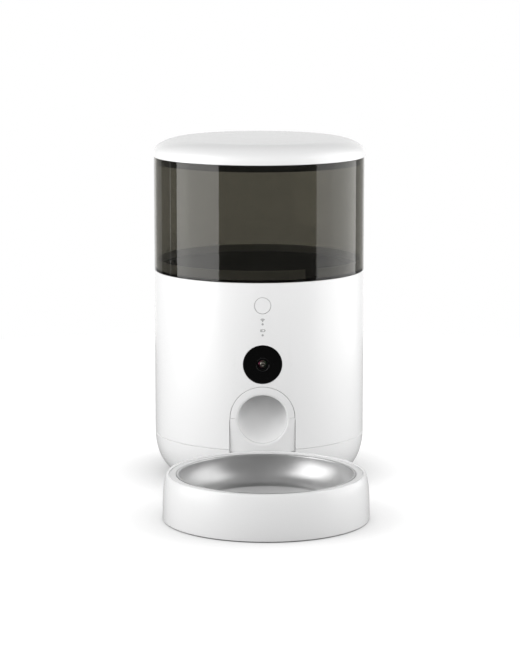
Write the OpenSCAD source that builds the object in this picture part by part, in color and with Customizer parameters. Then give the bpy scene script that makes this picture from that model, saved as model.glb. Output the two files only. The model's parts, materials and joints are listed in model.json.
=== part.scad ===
// Automatic pet feeder: a white drum with a smoked food tank on top, a camera
// and an outlet in front, and a loose steel bowl in its own stand.
// The front faces -Y and the floor is z = 0.

/* [Body] */
// Outside diameter of the body
body_d = 200; // [190:1:230]
// Height of the seam between the base and the body
seam_h = 41; // [41:0.5:46]
// Wall of the white mouldings
wall = 2.8; // [2.2:0.1:3.2]
// How far the base draws in below the seam
base_tuck = 24; // [18:1:26]
// How far the rubber feet stand out
foot_h = 2.5; // [1.5:0.1:3.5]
// Diameter of a rubber foot
foot_d = 12; // [8:1:14]

/* [Food tank] */
// Height of the tank's clear wall above the body
tank_h = 108; // [80:1:140]
// Wall of the tank
tank_wall = 2.6; // [2:0.1:3.2]
// Depth of the spigot that drops into the body
spigot_h = 11; // [8:1:14]
// Height of the ring round the funnel above the body
funnel_rise = 11; // [8:1:16]
// Width of the flat rim round the funnel
funnel_rim_w = 8; // [5:1:12]
// Inside diameter of the funnel's outlet
throat_d = 66; // [62:1:70]
// Wall of the funnel
funnel_wall = 2; // [1.6:0.1:2.6]

/* [Lid] */
// How far the lid stands out past the tank
lid_overhang = 0.8; // [0.4:0.1:2]
// Height of the lid's upright side
lid_side = 3.4; // [2:0.1:6]
// Height of the lid's rounded edge
lid_edge_h = 14.3; // [10:0.1:18]
// Width of the lid's rounded edge
lid_edge_w = 33; // [20:1:40]
// Rise of the lid's top in the middle
lid_crown = 3.1; // [1:0.1:6]
// Height of the seal under the lid
seal_h = 6.5; // [4:0.5:9]
// Diameter of the desiccant cup under the lid
cup_d = 60; // [40:1:80]
// Depth of the desiccant cup
cup_h = 11; // [8:1:16]

/* [Outlet] */
// Height of the outlet mouth's centre
mouth_h = 70; // [69:0.5:76]
// Diameter of the outlet mouth
mouth_d = 45.6; // [40:0.2:47]
// Rounding of the mouth's edge
mouth_flare = 1.5; // [0.8:0.1:2]
// Width of the outlet cover round the mouth
arch_w = 7.1; // [6:0.1:10]
// How far the cover's foot draws in
cover_tuck = 2.4; // [1:0.1:3]
// How far the cover reaches below the seam
cover_drop = 2.6; // [0.5:0.1:3.2]
// Gap round the outlet cover
cover_gap = 0.4; // [0.2:0.05:0.6]
// Width of the discharge opening
discharge_w = 40; // [34:1:42]
// Width of the chamber floor in front of the discharge opening
discharge_rim = 5; // [3:0.5:8]
// Wall of the chute
chute_wall = 2.2; // [1.6:0.1:2.6]

/* [Dispenser] */
// Depth of the deck's top below the body's top edge
deck_drop = 34; // [32:0.5:36]
// Radius of the portion rotor
rotor_r = 49; // [48:0.5:52]
// Height of the portion rotor's vanes
rotor_h = 24; // [20:1:26]
// Number of rotor vanes
vanes = 6; // [4:1:8]
// Thickness of a vane
vane_t = 2.4; // [1.8:0.1:3.2]
// Running gap round the rotor
rotor_gap = 1; // [0.6:0.1:1.5]
// Diameter of the rotor's shaft
shaft_d = 6; // [5:0.5:8]
// Length of the stirrer's arms
stirrer_reach = 26; // [20:1:27]

/* [Gears] */
// Gear module, the pitch diameter per tooth
gear_m = 1; // [0.9:0.05:1.05]
// Teeth of the driven gear
gear_teeth = 32; // [30:1:32]
// Teeth of the pinion
pinion_teeth = 12; // [12:1:14]
// Width of the gears
gear_w = 8; // [5:0.5:9]
// Slack between meshing teeth
backlash = 0.2; // [0.1:0.02:0.3]
// Diameter of the gearmotor
motor_d = 25; // [22:0.5:27]
// Length of the gearmotor
motor_l = 50; // [40:1:56]

/* [Front panel] */
// Gap between the outlet cover's arch and the camera window
window_gap = 3.2; // [2.6:0.1:8]
// Diameter of the camera window
window_d = 36; // [30:0.5:40]
// Diameter of the camera's lens opening
lens_d = 11.6; // [9:0.1:13]
// Gap between the camera window and the lower status lamp's centre
lamp_gap = 9.5; // [6:0.1:14]
// Distance between the two status lamps
lamp_pitch = 10.2; // [8:0.1:14]
// Diameter of a status lamp
lamp_d = 2; // [1.4:0.1:2.6]
// Gap between the upper status lamp's centre and the feed button
button_gap = 9.9; // [7:0.1:14]
// Diameter of the feed button
button_d = 14.7; // [12:0.1:18]
// Travel of the feed button
button_travel = 1; // [0.6:0.1:1.2]
// Gap between the feed button's flange and the tank's spigot above it
spigot_gap = 1.1; // [1:0.1:15]

/* [Battery bay] */
// Diameter of a backup cell
cell_d = 32.6; // [31:0.2:34]
// Length of a backup cell
cell_l = 59; // [56:0.5:61]
// Number of backup cells
cells = 3; // [2:1:3]

/* [Rear] */
// Height of the power inlet's centre
inlet_h = 24; // [22:0.5:26]
// Diameter of the recess round the power inlet
inlet_d = 14; // [12:0.5:16]
// Height of the speaker's centre
speaker_h = 112; // [90:1:125]
// Diameter of the speaker
speaker_d = 36; // [28:1:40]

/* [Bowl and stand] */
// Radius of the steel bowl's rim
bowl_r = 80.1; // [70:0.1:90]
// Width of the bowl's flat rim
bowl_flange = 2.4; // [2.2:0.1:5]
// Depth of the bowl
bowl_depth = 30; // [24:0.5:40]
// Radius of the bowl's flat floor
bowl_floor_r = 40; // [30:1:50]
// Width of the pale ring round the bowl
ring_w = 6.2; // [3:0.1:8]
// Width of the stand's ridge on top
ridge_w = 1.2; // [1:0.1:2]
// How far the stand's shoulder stands out past the ridge
shoulder_w = 4.5; // [3:0.1:6]
// How far the stand's foot stands out past its shoulder
stand_flare = 0.2; // [0:0.1:2]
// Height of the rounding below the ridge
ridge_rise = 29; // [20:0.5:32]
// Wall of the stand
stand_wall = 2.6; // [2:0.1:3]
// Gap between the bowl's floor and the stand's bottom plate
bowl_lift_off = 4.7; // [2:0.1:10]
// Gap between the stand's ridge and the body's side
stand_clear = 3.6; // [2:0.1:20]
// Thickness of the bowl's steel
steel_t = 0.9; // [0.7:0.1:1.4]
// Width of the stand's tongue
tongue_w = 46; // [36:1:50]

/* [Hidden] */
$fn = 96;
eps = 0.01;

// Body
body_r = body_d / 2;
inner_r = body_r - wall;
base_flat_r = body_r - base_tuck;
edge = 0.6;                                   // chamfer at the seam and the rims
fit = 0.2;                                    // play of a part that locates another
rim_round = 1.2;                              // rounding of the body's top edge
fit_gap = 0.4;                                // play between a part and one that moves past it

// Heights of the front panel, from the outlet mouth up to the body's top edge
mouth_r = mouth_d / 2;
arch_r = mouth_r + arch_w;
fold_z = mouth_h + 0.9;                       // where the outlet cover starts to draw in
window_r = window_d / 2;
window_h = fold_z + arch_r + window_gap + window_r;
lamp_low = window_h + window_r + lamp_gap;
lamp_h = [lamp_low + lamp_pitch, lamp_low];
button_r = button_d / 2;
button_flange_r = button_r + 1.6;
button_h = lamp_h[0] + button_gap + button_r;
body_top = button_h + button_flange_r + spigot_gap + spigot_h;

// Radii and heights of the bowl and its stand
ring_r = bowl_r + ring_w;
stand_in_r = ring_r + fit;
ridge_r = stand_in_r + ridge_w;
stand_shoulder_r = ridge_r + shoulder_w;
stand_foot_r = stand_shoulder_r + stand_flare;
bowl_reach = body_r + ridge_r + stand_clear;
tongue_t = 2;
tongue_z = foot_h + 0.5;
stand_plate_z = tongue_z - 0.5;
stand_plate_t = tongue_z + tongue_t - stand_plate_z;
stand_plate_top = stand_plate_z + stand_plate_t;
bowl_z = stand_plate_top + bowl_lift_off + steel_t;
bowl_top = bowl_z + bowl_depth;
stand_h = bowl_top + 0.8;

// The origin is the middle of the footprint, so the body stands behind it
lid_r = body_r + lid_overhang;
body_y = (bowl_reach + stand_foot_r - lid_r) / 2;

// Feet and screws of the base
foot_ring_r = base_flat_r - foot_d / 2 - 2;
// Legs of the deck, on a ring just outside the chamber floor
chamber_r = rotor_r + rotor_gap;
chamber_wall = 2;
chamber_flange_r = chamber_r + chamber_wall + 6;
leg_r = 4.5;
leg_ring_r = chamber_flange_r + leg_r + 0.75;
leg_angle = 55.3;
leg_places = [for (side = [-1, 1], end = [-1, 1])
    [side * leg_ring_r * cos(leg_angle), end * leg_ring_r * sin(leg_angle)]];
screw_r = 1.5;
screw_head_r = 2.75;
screw_head_h = 1.9;
screw_seat_z = foot_h + 6;                    // where the base screws' heads sit
pilot_depth = 12;
foot_seat = 1;                                // how deep a foot is let into the base
lip_t = 2;

// Battery bay
bay_wall = 2;
cell_pitch = cell_d + 1;
bay_w = cells * cell_pitch + 2;
bay_l = cell_l + 5;
bay_h = cell_d + 1.6;
bay_lip = 2;                                  // rebate that the battery cover seats in
door_t = 1.6;
cover_tab = 6;
cover_screw_x = bay_w / 2 + bay_wall + 3;
cover_screw_l = 10;
contact_w = 18;                               // side of a battery contact's plate
contact_spring_w = 8;                         // its spring tab
contact_spring_h = 6;
cell_button_r = 4.7;                          // raised end of a cell
grip_l = 18;                                  // grooves that the battery cover is pushed by
grip_w = 1.6;
grip_pitch = 4;

// The rubber feet stand just in front of and behind the bay
foot_angle = asin((bay_l / 2 + bay_lip + foot_d / 2 + 6.4) / foot_ring_r);
foot_angles = [foot_angle, 180 - foot_angle, 180 + foot_angle, 360 - foot_angle];

// Tongue of the bowl stand and its channel in the base
channel_top = tongue_z + tongue_t + 0.6;
channel_back = -(bay_l / 2 + bay_wall + 14);
tongue_end = channel_back - 3;

// Tank and funnel
tank_bottom = body_top;
tank_top = body_top + tank_h;
tank_in_r = body_r - tank_wall;
spigot_r = inner_r - fit_gap;
spigot_in_r = spigot_r - tank_wall;
ledge_z = body_top + 2;                       // shoulder that carries the funnel
funnel_ring_top = body_top + funnel_rise;
funnel_ring_r = tank_in_r - fit;
funnel_ring_in_r = funnel_ring_r - 1.4;
funnel_ring_gap = 14;                         // the ring is split here, so that it springs into the tank
funnel_ring_turn = 28;                        // direction of the split from the front, to the right
rim_t = 2;
funnel_top = ledge_z + rim_t;
funnel_r = funnel_ring_in_r - fit;
funnel_in_r = funnel_r - funnel_rim_w;
throat_r = throat_d / 2;

// Lid
lid_z = tank_top;
lid_wall = 2.4;
liner_t = 2;
liner_r = tank_in_r - fit_gap;
seal_t = 2.4;
cup_r = cup_d / 2;
cup_wall = 1.6;
cup_cover_t = 2;

// Dispenser, from the deck down
deck_top = body_top - deck_drop;
deck_t = 3;
deck_z = deck_top - deck_t;
baffle_t = 2;
baffle_lift = 1.4;                            // gap between the vanes and the baffle
vane_lift = 0.6;                              // gap between the vanes and the chamber floor
throat_clear = 2;
throat_z = deck_z - 4;                        // lowest edge of the funnel
cone_z = throat_z + 7;
deck_hole_r = throat_r + funnel_wall + 2.5;
ledge_w = 4;
baffle_z = throat_z - throat_clear - baffle_t;
rotor_z = baffle_z - baffle_lift - rotor_h;
chamber_z = rotor_z - vane_lift;              // top of the chamber floor
chamber_floor_t = 3;
chamber_floor_z = chamber_z - chamber_floor_t;
chamber_screw_angles = [30, 150, 210, 330];
chamber_screw_r = chamber_r + chamber_wall + 2.4;
chamber_boss_r = 3.4;
chamber_screw_grip = 7;                       // length of a screw inside its boss
baffle_edge_y = 6;                            // the baffle ends this far in front of the axis
baffle_post_ring = (deck_hole_r + chamber_r) / 2;
baffle_post_angle = 37;
baffle_post_r = 2.5;
hub_r = 9;
shaft_r = shaft_d / 2;
shaft_play = 0.05;
hub_top = throat_z + 1;
stirrer_hub_h = 12;
arm_r = 2.2;
arm_z = hub_top + stirrer_hub_h / 2 + 1;
finger_h = 14;

// Gears
pressure_angle = 25;
gear_rp = gear_m * gear_teeth / 2;
pinion_rp = gear_m * pinion_teeth / 2;
gear_y = gear_rp + pinion_rp;                 // centre distance
gear_lift = 1.5;
gear_z = chamber_floor_z - gear_lift - gear_w;
gear_cavity_z = gear_z - 2.6;                 // the gears run this far above the cover's floor
gear_plate_t = 2.5;
gear_plate_z = gear_cavity_z - gear_plate_t;
gear_wall = 1.8;
gear_room_r = gear_rp + gear_m + 0.8;
pinion_room_r = 12.6;
discharge_front = chamber_r - discharge_rim;  // the discharge opening ends just clear of the gears
discharge_back = gear_room_r + gear_wall + chute_wall + 2.2;
discharge_l = discharge_front - discharge_back;
discharge_y = -(discharge_front + discharge_back) / 2;
motor_r = motor_d / 2;
motor_z = gear_plate_z - motor_l;
motor_shaft_r = 2;
motor_screw_x = 8.5;
bush_r = shaft_r + 2.2;
gear_cover_ears = [-20, 200];
ear_l = 8;
ear_w = 7;
ear_t = 2.4;
motor_box_l = 22;
bearing_wall = 2.4;                           // wall of the lower bearing in the gear cover
shaft_seat = 0.8;                             // floor below the shaft's lower end
gear_hole_r = 2.2;                            // holes that keep the gear's web even in thickness
gear_holes = 6;
motor_shaft_grip = 10;                        // length of the motor's shaft inside its gearbox

// Outlet cover
cover_z = seam_h - cover_drop;
groove_h = 0.4;                                // shadow line that hides the seam of body and base
groove_in = 1.2;
cover_lower_ease = 0.3;                       // how much wider the opening is below the fold
cover_lip = 1.8;                              // flange behind the shell
cover_lip_t = 2.3;

// Front panel
window_play = 0.25;
window_lip = 1;
lens_r = lens_d / 2;
camera_board_y = inner_r - 7.2;
board_post_r = 3;
camera_board_h = 20;
camera_box_w = 20;                            // housing behind the lens
camera_box_h = 18;
camera_box_t = 4.6;
infrared_x = 13.2;                            // lamps on both sides of the lens
infrared_r = 1.5;
camera_post_x = window_r + window_lip + board_post_r + 2;
board_t = 1.6;
board_y = inner_r - 11;
board_w = 36;
board_bottom = window_h + 19;
board_top = button_h + 9;
board_post_x = 14;
board_screw_r = 1;
board_post_z = [board_bottom + 3.5, board_top - 3.5];
stem_r = 2.5;
switch_h = 3.4;
stem_end = board_y + switch_h + button_travel + 0.2;

// Rear
inlet_r = inlet_d / 2;
inlet_depth = 8;
inlet_floor = body_r - 2 - inlet_depth;
jack_w = 9.2;
speaker_r = speaker_d / 2;
speaker_seat = inner_r - 6.5;
grille_pitch = 4;
grille_slot = 1.8;

// Bowl and stand
stand_gap = 1;                                // how far the stand's wall is off the floor
shoulder_z = stand_h - ridge_rise;
ledge_drop = 3;
stand_ledge_z = stand_h - ledge_drop;
ring_h = 1.6;
bowl_in_r = bowl_r - bowl_flange;
bowl_bend = 1.3;                              // bend between the bowl's rim and its side
ring_in_r = bowl_in_r + bowl_bend + fit;

// ---------- helpers ----------

// Place on the body's axis, and on the bowl's axis
module at_body() { translate([0, body_y, 0]) children(); }
module at_bowl() { translate([0, body_y - bowl_reach, 0]) children(); }

// Ring round Z
module ring(r_out, r_in, z, h) {
    translate([0, 0, z]) difference() {
        cylinder(r = r_out, h = h);
        translate([0, 0, -1]) cylinder(r = r_in, h = h + 2);
    }
}

// Cylinder towards the front, from distance a to distance b in front of the axis
module to_front(x, z, r, a, b) { translate([x, -a, z]) rotate([90, 0, 0]) cylinder(r = r, h = b - a); }

// Cylinder towards the rear, from distance a to distance b behind the axis
module to_rear(x, z, r, a, b) { translate([x, a, z]) rotate([-90, 0, 0]) cylinder(r = r, h = b - a); }

// A shape drawn in x and z, extruded towards the front
module front_prism(a, b) { translate([0, -a, 0]) rotate([90, 0, 0]) linear_extrude(b - a) children(); }

// A box given by its centre in x and y and its lowest z
module block(size, place) {
    translate([place[0] - size[0] / 2, place[1] - size[1] / 2, place[2]]) cube(size);
}

// Pan-head screw that points up, with the underside of its head at z
module screw_up(x, y, z, length, head = screw_head_h) {
    translate([x, y, z - head]) cylinder(r = screw_head_r, h = head);
    translate([x, y, z - eps]) cylinder(r = screw_r, h = length);
}

// Points on an ellipse's quarter, from angle a0 to a1
function arc_points(cx, cz, rx, rz, a0, a1, n) =
    [for (i = [0:n]) let (a = a0 + (a1 - a0) * i / n) [cx + rx * cos(a), cz + rz * sin(a)]];

// ---------- base ----------

// Outline of the base, moved in by t
function base_outline(t) = let (base_h = seam_h - foot_h) concat(
    [[0, foot_h + t]],
    arc_points(base_flat_r, seam_h, base_tuck - t, base_h - t, -90, -asin(edge / base_h), 14),
    [[body_r - edge - t, seam_h], [0, seam_h]]);

module base_solid(t) { rotate_extrude() polygon(base_outline(t)); }

// The outlet's opening, drawn in x and z, grown by g and wider below the fold
module arch_shape(g, bottom, ease) {
    translate([0, fold_z]) circle(r = arch_r + g);
    translate([-(arch_r + g), bottom]) square([2 * (arch_r + g), fold_z - bottom]);
    translate([-(arch_r + g + ease), bottom]) square([2 * (arch_r + g + ease), fold_z - 1.5 - bottom]);
}

// Outline of the battery cover with its screw tab, grown by g
module cover_shape(g) {
    square([bay_w + 2 * bay_lip + 2 * g, bay_l + 2 * bay_lip + 2 * g], center = true);
    translate([cover_screw_x, 0]) square([2 * cover_tab + 2 * g, 2 * cover_tab + 2 * g], center = true);
}

module base_shell() {
    color("white") at_body() difference() {
        union() {
            difference() {
                base_solid(0);
                base_solid(wall);
                translate([0, 0, seam_h - wall]) cylinder(r = inner_r, h = wall + 1);
            }
            // lip that locates the body shell
            ring(inner_r - fit, inner_r - fit - lip_t, seam_h - 8, 13);
            ring(inner_r + 0.6, inner_r - fit - lip_t, seam_h - 8, 4);
            block([bay_w + 2 * bay_wall, bay_l + 2 * bay_wall, bay_h + bay_wall + wall], [0, 0, foot_h]);
            // roof of the tongue's channel
            intersection() {
                base_solid(0);
                translate([-tongue_w / 2 - 3, -body_r, foot_h])
                    cube([tongue_w + 6, body_r + channel_back + 2.4, channel_top - foot_h + 2.2]);
            }
            for (p = leg_places) translate([p[0], p[1], foot_h]) cylinder(r = leg_r, h = seam_h - foot_h);
            translate([cover_screw_x, 0, foot_h]) cylinder(r = leg_r, h = 12);
            intersection() {
                base_solid(0);
                to_rear(0, inlet_h, inlet_r + 2, inlet_floor - 2, body_r);
            }
        }
        block([bay_w, bay_l, bay_h + wall + 1], [0, 0, foot_h - 1]);
        translate([0, 0, foot_h - 1]) linear_extrude(door_t + 1) cover_shape(fit);
        // channel of the stand's tongue
        translate([-tongue_w / 2 - fit_gap, -body_r - 1, -1])
            cube([tongue_w + 2 * fit_gap, body_r + 1 + channel_back, channel_top + 1]);
        for (p = leg_places) translate([p[0], p[1], 0]) {
            cylinder(r = screw_r + fit, h = seam_h + 1);
            cylinder(r = screw_head_r + fit_gap, h = screw_seat_z);
        }
        for (a = foot_angles) rotate([0, 0, a]) translate([foot_ring_r, 0, 0])
            cylinder(r = foot_d / 2, h = foot_h + foot_seat);
        to_rear(0, inlet_h, inlet_r, inlet_floor, body_r + 1);
        block([jack_w, 20, jack_w], [0, inlet_floor - 6, inlet_h - jack_w / 2]);
        translate([cover_screw_x, 0, 0]) cylinder(r = screw_r, h = cover_screw_l + foot_h);
        // notch for the outlet cover's foot
        front_prism(inner_r - 14, body_r + 1)
            translate([-(arch_r + cover_gap + cover_lower_ease), cover_z - cover_gap])
                square([2 * (arch_r + cover_gap + cover_lower_ease), seam_h]);
    }
}

module battery_cover() {
    color("white") at_body() difference() {
        translate([0, 0, foot_h]) linear_extrude(door_t) cover_shape(0);
        translate([cover_screw_x, 0, 0]) cylinder(r = screw_r + fit, h = foot_h + 3);
        translate([cover_screw_x, 0, 0]) cylinder(r = screw_head_r + fit, h = foot_h + door_t - 0.8);
        for (x = [-2 * grip_pitch:grip_pitch:2 * grip_pitch])
            block([grip_w, grip_l, 1], [x, bay_l / 4, foot_h - 0.5]);
    }
}

module cover_screw() {
    color("silver") at_body() screw_up(cover_screw_x, 0, foot_h + door_t - 0.8, cover_screw_l - 3, 0.8);
}

// Spring plates at both ends of the bay, one pair for each cell
module battery_contacts() {
    color("silver") at_body() for (i = [0:cells - 1], side = [-1, 1])
        translate([(i - (cells - 1) / 2) * cell_pitch, side * bay_l / 2, foot_h + wall + cell_d / 2]) {
            block([contact_w, 0.6, contact_w], [0, -side * 0.3, -contact_w / 2]);
            block([contact_spring_w, 1.2, contact_spring_h], [0, -side * 1.1, -contact_spring_h / 2]);
        }
}

module backup_cells() {
    color("goldenrod") at_body() for (i = [0:cells - 1])
        translate([(i - (cells - 1) / 2) * cell_pitch, -cell_l / 2, foot_h + wall + cell_d / 2])
            rotate([-90, 0, 0]) {
                cylinder(r = cell_d / 2, h = cell_l - 1.5);
                cylinder(r = cell_button_r, h = cell_l);
            }
}

module rubber_feet() {
    color("dimgray") at_body() for (a = foot_angles) rotate([0, 0, a]) translate([foot_ring_r, 0, 0])
        difference() {
            cylinder(r = foot_d / 2, h = foot_h + foot_seat);
            translate([0, 0, -eps]) cylinder(r1 = foot_d / 4 + 0.5, r2 = foot_d / 4, h = 0.6);
        }
}

module base_screws() {
    color("silver") at_body() for (p = leg_places)
        screw_up(p[0], p[1], screw_seat_z, seam_h - screw_seat_z + pilot_depth);
}

// Barrel jack with its centre pin, seen at the bottom of the recess
module power_inlet() {
    color("dimgray") at_body() {
        difference() {
            block([jack_w, 13, jack_w], [0, inlet_floor - 6.5, inlet_h - jack_w / 2]);
            to_rear(0, inlet_h, 2.85, inlet_floor - 9, inlet_floor + 1);
        }
        to_rear(0, inlet_h, 1, inlet_floor - 9.5, inlet_floor - 0.5);
    }
}

// ---------- body ----------

module body_wall() {
    rotate_extrude() polygon(concat(
        [[inner_r, seam_h], [body_r - groove_in, seam_h], [body_r - groove_in, seam_h + groove_h],
            [body_r, seam_h + groove_h]],
        arc_points(body_r - rim_round, body_top - rim_round, rim_round, rim_round, 0, 90, 5),
        [[inner_r, body_top]]));
}

module body_shell() {
    color("white") at_body() {
        difference() {
            union() {
                body_wall();
                // ledge that carries the deck
                rotate_extrude() polygon([[inner_r + 1, deck_z - 8], [inner_r - ledge_w, deck_z - 3],
                    [inner_r - ledge_w, deck_z], [inner_r + 1, deck_z]]);
                // posts of the two boards
                for (x = [-board_post_x, board_post_x], z = board_post_z)
                    to_front(x, z, board_post_r, board_y, inner_r + 0.5);
                for (x = [-camera_post_x, camera_post_x])
                    to_front(x, window_h, board_post_r, camera_board_y, inner_r - 0.5);
                // seat of the speaker
                difference() {
                    to_rear(0, speaker_h, speaker_r + 2, speaker_seat - 4, inner_r);
                    to_rear(0, speaker_h, speaker_r + fit, speaker_seat - 5, speaker_seat);
                    to_rear(0, speaker_h, speaker_r - 2, speaker_seat - 1, inner_r + 1);
                }
            }
            front_prism(inner_r - 14, body_r + 1) arch_shape(cover_gap, seam_h - 1, cover_lower_ease);
            to_front(0, window_h, window_r + window_play, inner_r - 8, body_r + 1);
            to_front(0, button_h, button_r + fit_gap, inner_r - 8, body_r + 1);
            for (z = lamp_h) to_front(0, z, lamp_d / 2, inner_r - 8, body_r + 1);
            // speaker grille
            for (x = [-3 * grille_pitch:grille_pitch:3 * grille_pitch])
                let (half = sqrt(pow(speaker_r - 3, 2) - x * x))
                    translate([x - grille_slot / 2, inner_r - 3, speaker_h - half])
                        cube([grille_slot, wall + 5, 2 * half]);
            // wells for the board screws
            for (x = [-board_post_x, board_post_x], z = board_post_z)
                to_front(x, z, board_screw_r, board_y - 1, board_y + 6);
        }
    }
}

// ---------- deck, chamber and drive ----------

module hopper_deck() {
    color("gainsboro") at_body() difference() {
        union() {
            translate([0, 0, deck_z]) cylinder(r = inner_r - fit, h = deck_t);
            translate([0, 0, chamber_z]) cylinder(r = chamber_r + chamber_wall, h = deck_z - chamber_z + 1);
            for (a = chamber_screw_angles) rotate([0, 0, a]) translate([chamber_screw_r, 0, chamber_z])
                cylinder(r = chamber_boss_r, h = deck_z - chamber_z + 1);
            for (p = leg_places) translate([p[0], p[1], seam_h]) cylinder(r = leg_r, h = deck_z - seam_h + 1);
            // low wall round the opening, for stray crumbs
            ring(deck_hole_r + 6, deck_hole_r + 4.4, deck_top - eps, 1.2);
        }
        translate([0, 0, chamber_z - 1]) cylinder(r = chamber_r, h = deck_z - chamber_z + 1);
        translate([0, 0, deck_z - 1]) cylinder(r = deck_hole_r, h = deck_t + 4);
        for (a = chamber_screw_angles) rotate([0, 0, a]) translate([chamber_screw_r, 0, chamber_z - 1])
            cylinder(r = screw_r, h = chamber_screw_grip + 2);
        for (p = leg_places) translate([p[0], p[1], seam_h - 1]) cylinder(r = screw_r, h = pilot_depth + 1.5);
        // stay clear of the two boards at the front
        translate([-board_w / 2 - 1, -body_r, deck_z - 1])
            cube([board_w + 2, body_r - board_y + 3, deck_t + 3]);
    }
}

// Plate over the vanes at the front, so that food falls only into pockets that are turned to the rear
module portion_baffle() {
    color("gainsboro") at_body() {
        difference() {
            translate([0, 0, baffle_z]) cylinder(r = chamber_r - fit, h = baffle_t);
            translate([0, 0, baffle_z - 1]) cylinder(r = hub_r + rotor_gap, h = baffle_t + 2);
            translate([-body_r, -baffle_edge_y, baffle_z - 1]) cube([2 * body_r, body_r, baffle_t + 2]);
        }
        for (a = [-baffle_post_angle, baffle_post_angle - 180]) rotate([0, 0, a])
            translate([baffle_post_ring, 0, baffle_z + baffle_t - eps])
                cylinder(r = baffle_post_r, h = deck_z - baffle_z - baffle_t + eps);
    }
}

module chamber_floor() {
    color("gainsboro") at_body() difference() {
        translate([0, 0, chamber_floor_z]) cylinder(r = chamber_flange_r, h = chamber_floor_t);
        block([discharge_w, discharge_l, chamber_floor_t + 2], [0, discharge_y, chamber_floor_z - 1]);
        translate([0, 0, chamber_floor_z - 1]) cylinder(r = bush_r, h = chamber_floor_t + 2);
        for (a = chamber_screw_angles) rotate([0, 0, a]) translate([chamber_screw_r, 0, chamber_floor_z - 1])
            cylinder(r = screw_r + fit, h = chamber_floor_t + 2);
    }
}

module chamber_screws() {
    color("silver") at_body() for (a = chamber_screw_angles) rotate([0, 0, a])
        screw_up(chamber_screw_r, 0, chamber_floor_z, chamber_floor_t + chamber_screw_grip);
}

module shaft_bush() {
    color("darkgoldenrod") at_body() {
        ring(bush_r, shaft_r + shaft_play, chamber_floor_z, chamber_floor_t);
        ring(bush_r + 1.2, shaft_r + shaft_play, chamber_floor_z - 1, 1);
    }
}

module gear_room(g) {
    circle(r = gear_room_r + g);
    translate([0, gear_y]) circle(r = pinion_room_r + g);
}

module gear_cover() {
    color("gainsboro") at_body() difference() {
        union() {
            translate([0, 0, gear_plate_z])
                linear_extrude(chamber_floor_z - gear_plate_z) gear_room(gear_wall);
            for (a = gear_cover_ears) rotate([0, 0, a])
                block([ear_l, ear_w, ear_t], [gear_room_r + ear_l / 2, 0, chamber_floor_z - ear_t]);
        }
        difference() {
            translate([0, 0, gear_cavity_z])
                linear_extrude(chamber_floor_z - gear_cavity_z + 1) gear_room(0);
            translate([0, 0, gear_plate_z])
                cylinder(r = shaft_r + bearing_wall, h = gear_z - gear_plate_z - fit_gap);
        }
        translate([0, 0, gear_plate_z + shaft_seat]) cylinder(r = shaft_r + shaft_play, h = gear_z);
        translate([0, gear_y, gear_plate_z - 1]) {
            cylinder(r = motor_shaft_r + 1, h = gear_plate_t + 2);
            for (x = [-motor_screw_x, motor_screw_x]) translate([x, 0, 0])
                cylinder(r = screw_r + 0.05, h = gear_plate_t + 2);
        }
    }
}

// Motor can below, spur gearbox above
module gearmotor() {
    color("silver") at_body() translate([0, gear_y, motor_z]) difference() {
        union() {
            cylinder(r = motor_r - 0.4, h = motor_l - motor_box_l + eps);
            translate([0, 0, motor_l - motor_box_l]) cylinder(r = motor_r, h = motor_box_l);
            translate([0, 0, -2]) cylinder(r = 5, h = 2 + eps);
            for (y = [-6, 6]) block([3, 0.8, 6], [0, y, -6]);
            for (y = [-6, 6]) block([3, 0.8, 1], [0, y, -eps]);
        }
        translate([0, 0, motor_l - 12]) cylinder(r = motor_shaft_r + shaft_play, h = 13);
        for (x = [-motor_screw_x, motor_screw_x]) translate([x, 0, motor_l - 5]) cylinder(r = screw_r, h = 6);
    }
}

module motor_screws() {
    color("silver") at_body() for (x = [-motor_screw_x, motor_screw_x])
        translate([x, gear_y, gear_cavity_z]) {
            cylinder(r = screw_head_r, h = 1.6);
            translate([0, 0, -gear_plate_t - 4]) cylinder(r = screw_r, h = gear_plate_t + 4 + eps);
        }
}

// ---------- gears ----------

// Polar angle of an involute at radius r, for base radius rb
function involute_angle(r, rb) = let (a = acos(min(1, rb / r))) (tan(a) * 180 / PI - a);

// Half of a tooth's width at radius r, as an angle
function half_tooth(r, teeth, rp, rb) =
    90 / teeth - backlash / 4 / rp * 180 / PI + involute_angle(rp, rb) - involute_angle(max(r, rb), rb);

// Outline of an involute gear with a tooth on the X axis
function gear_outline(teeth) = let (
    rp = gear_m * teeth / 2,
    rb = rp * cos(pressure_angle),
    root = rp - 1.25 * gear_m,
    tip = rp + 0.95 * gear_m,
    radii = concat([root], [for (i = [0:4]) let (low = max(root, rb)) low + (tip - low) * i / 4]))
    [for (t = [0:teeth - 1], side = [-1, 1], i = [0:len(radii) - 1])
        let (r = side < 0 ? radii[i] : radii[len(radii) - 1 - i],
            a = 360 * t / teeth + side * half_tooth(r, teeth, rp, rb))
        [r * cos(a), r * sin(a)]];

module driven_gear() {
    color("ivory") at_body() translate([0, 0, gear_z]) difference() {
        union() {
            linear_extrude(gear_w) rotate(90) polygon(gear_outline(gear_teeth));
            cylinder(r = shaft_r + 3.2, h = gear_w + 0.2);
        }
        translate([0, 0, -1]) cylinder(r = shaft_r, h = gear_w + 3);
        for (i = [0:gear_holes - 1]) rotate([0, 0, i * 360 / gear_holes])
            translate([gear_rp * 0.62, 0, -1]) cylinder(r = gear_hole_r, h = gear_w + 2);
    }
}

module pinion() {
    color("ivory") at_body() translate([0, gear_y, gear_z]) difference() {
        linear_extrude(gear_w) rotate(270 + 180 / pinion_teeth) polygon(gear_outline(pinion_teeth));
        translate([0, 0, -1]) cylinder(r = motor_shaft_r, h = gear_w + 2);
    }
}

module motor_shaft() {
    color("silver") at_body() translate([0, gear_y, gear_plate_z - motor_shaft_grip])
        cylinder(r = motor_shaft_r, h = motor_shaft_grip + gear_z - gear_plate_z + gear_w);
}

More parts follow.
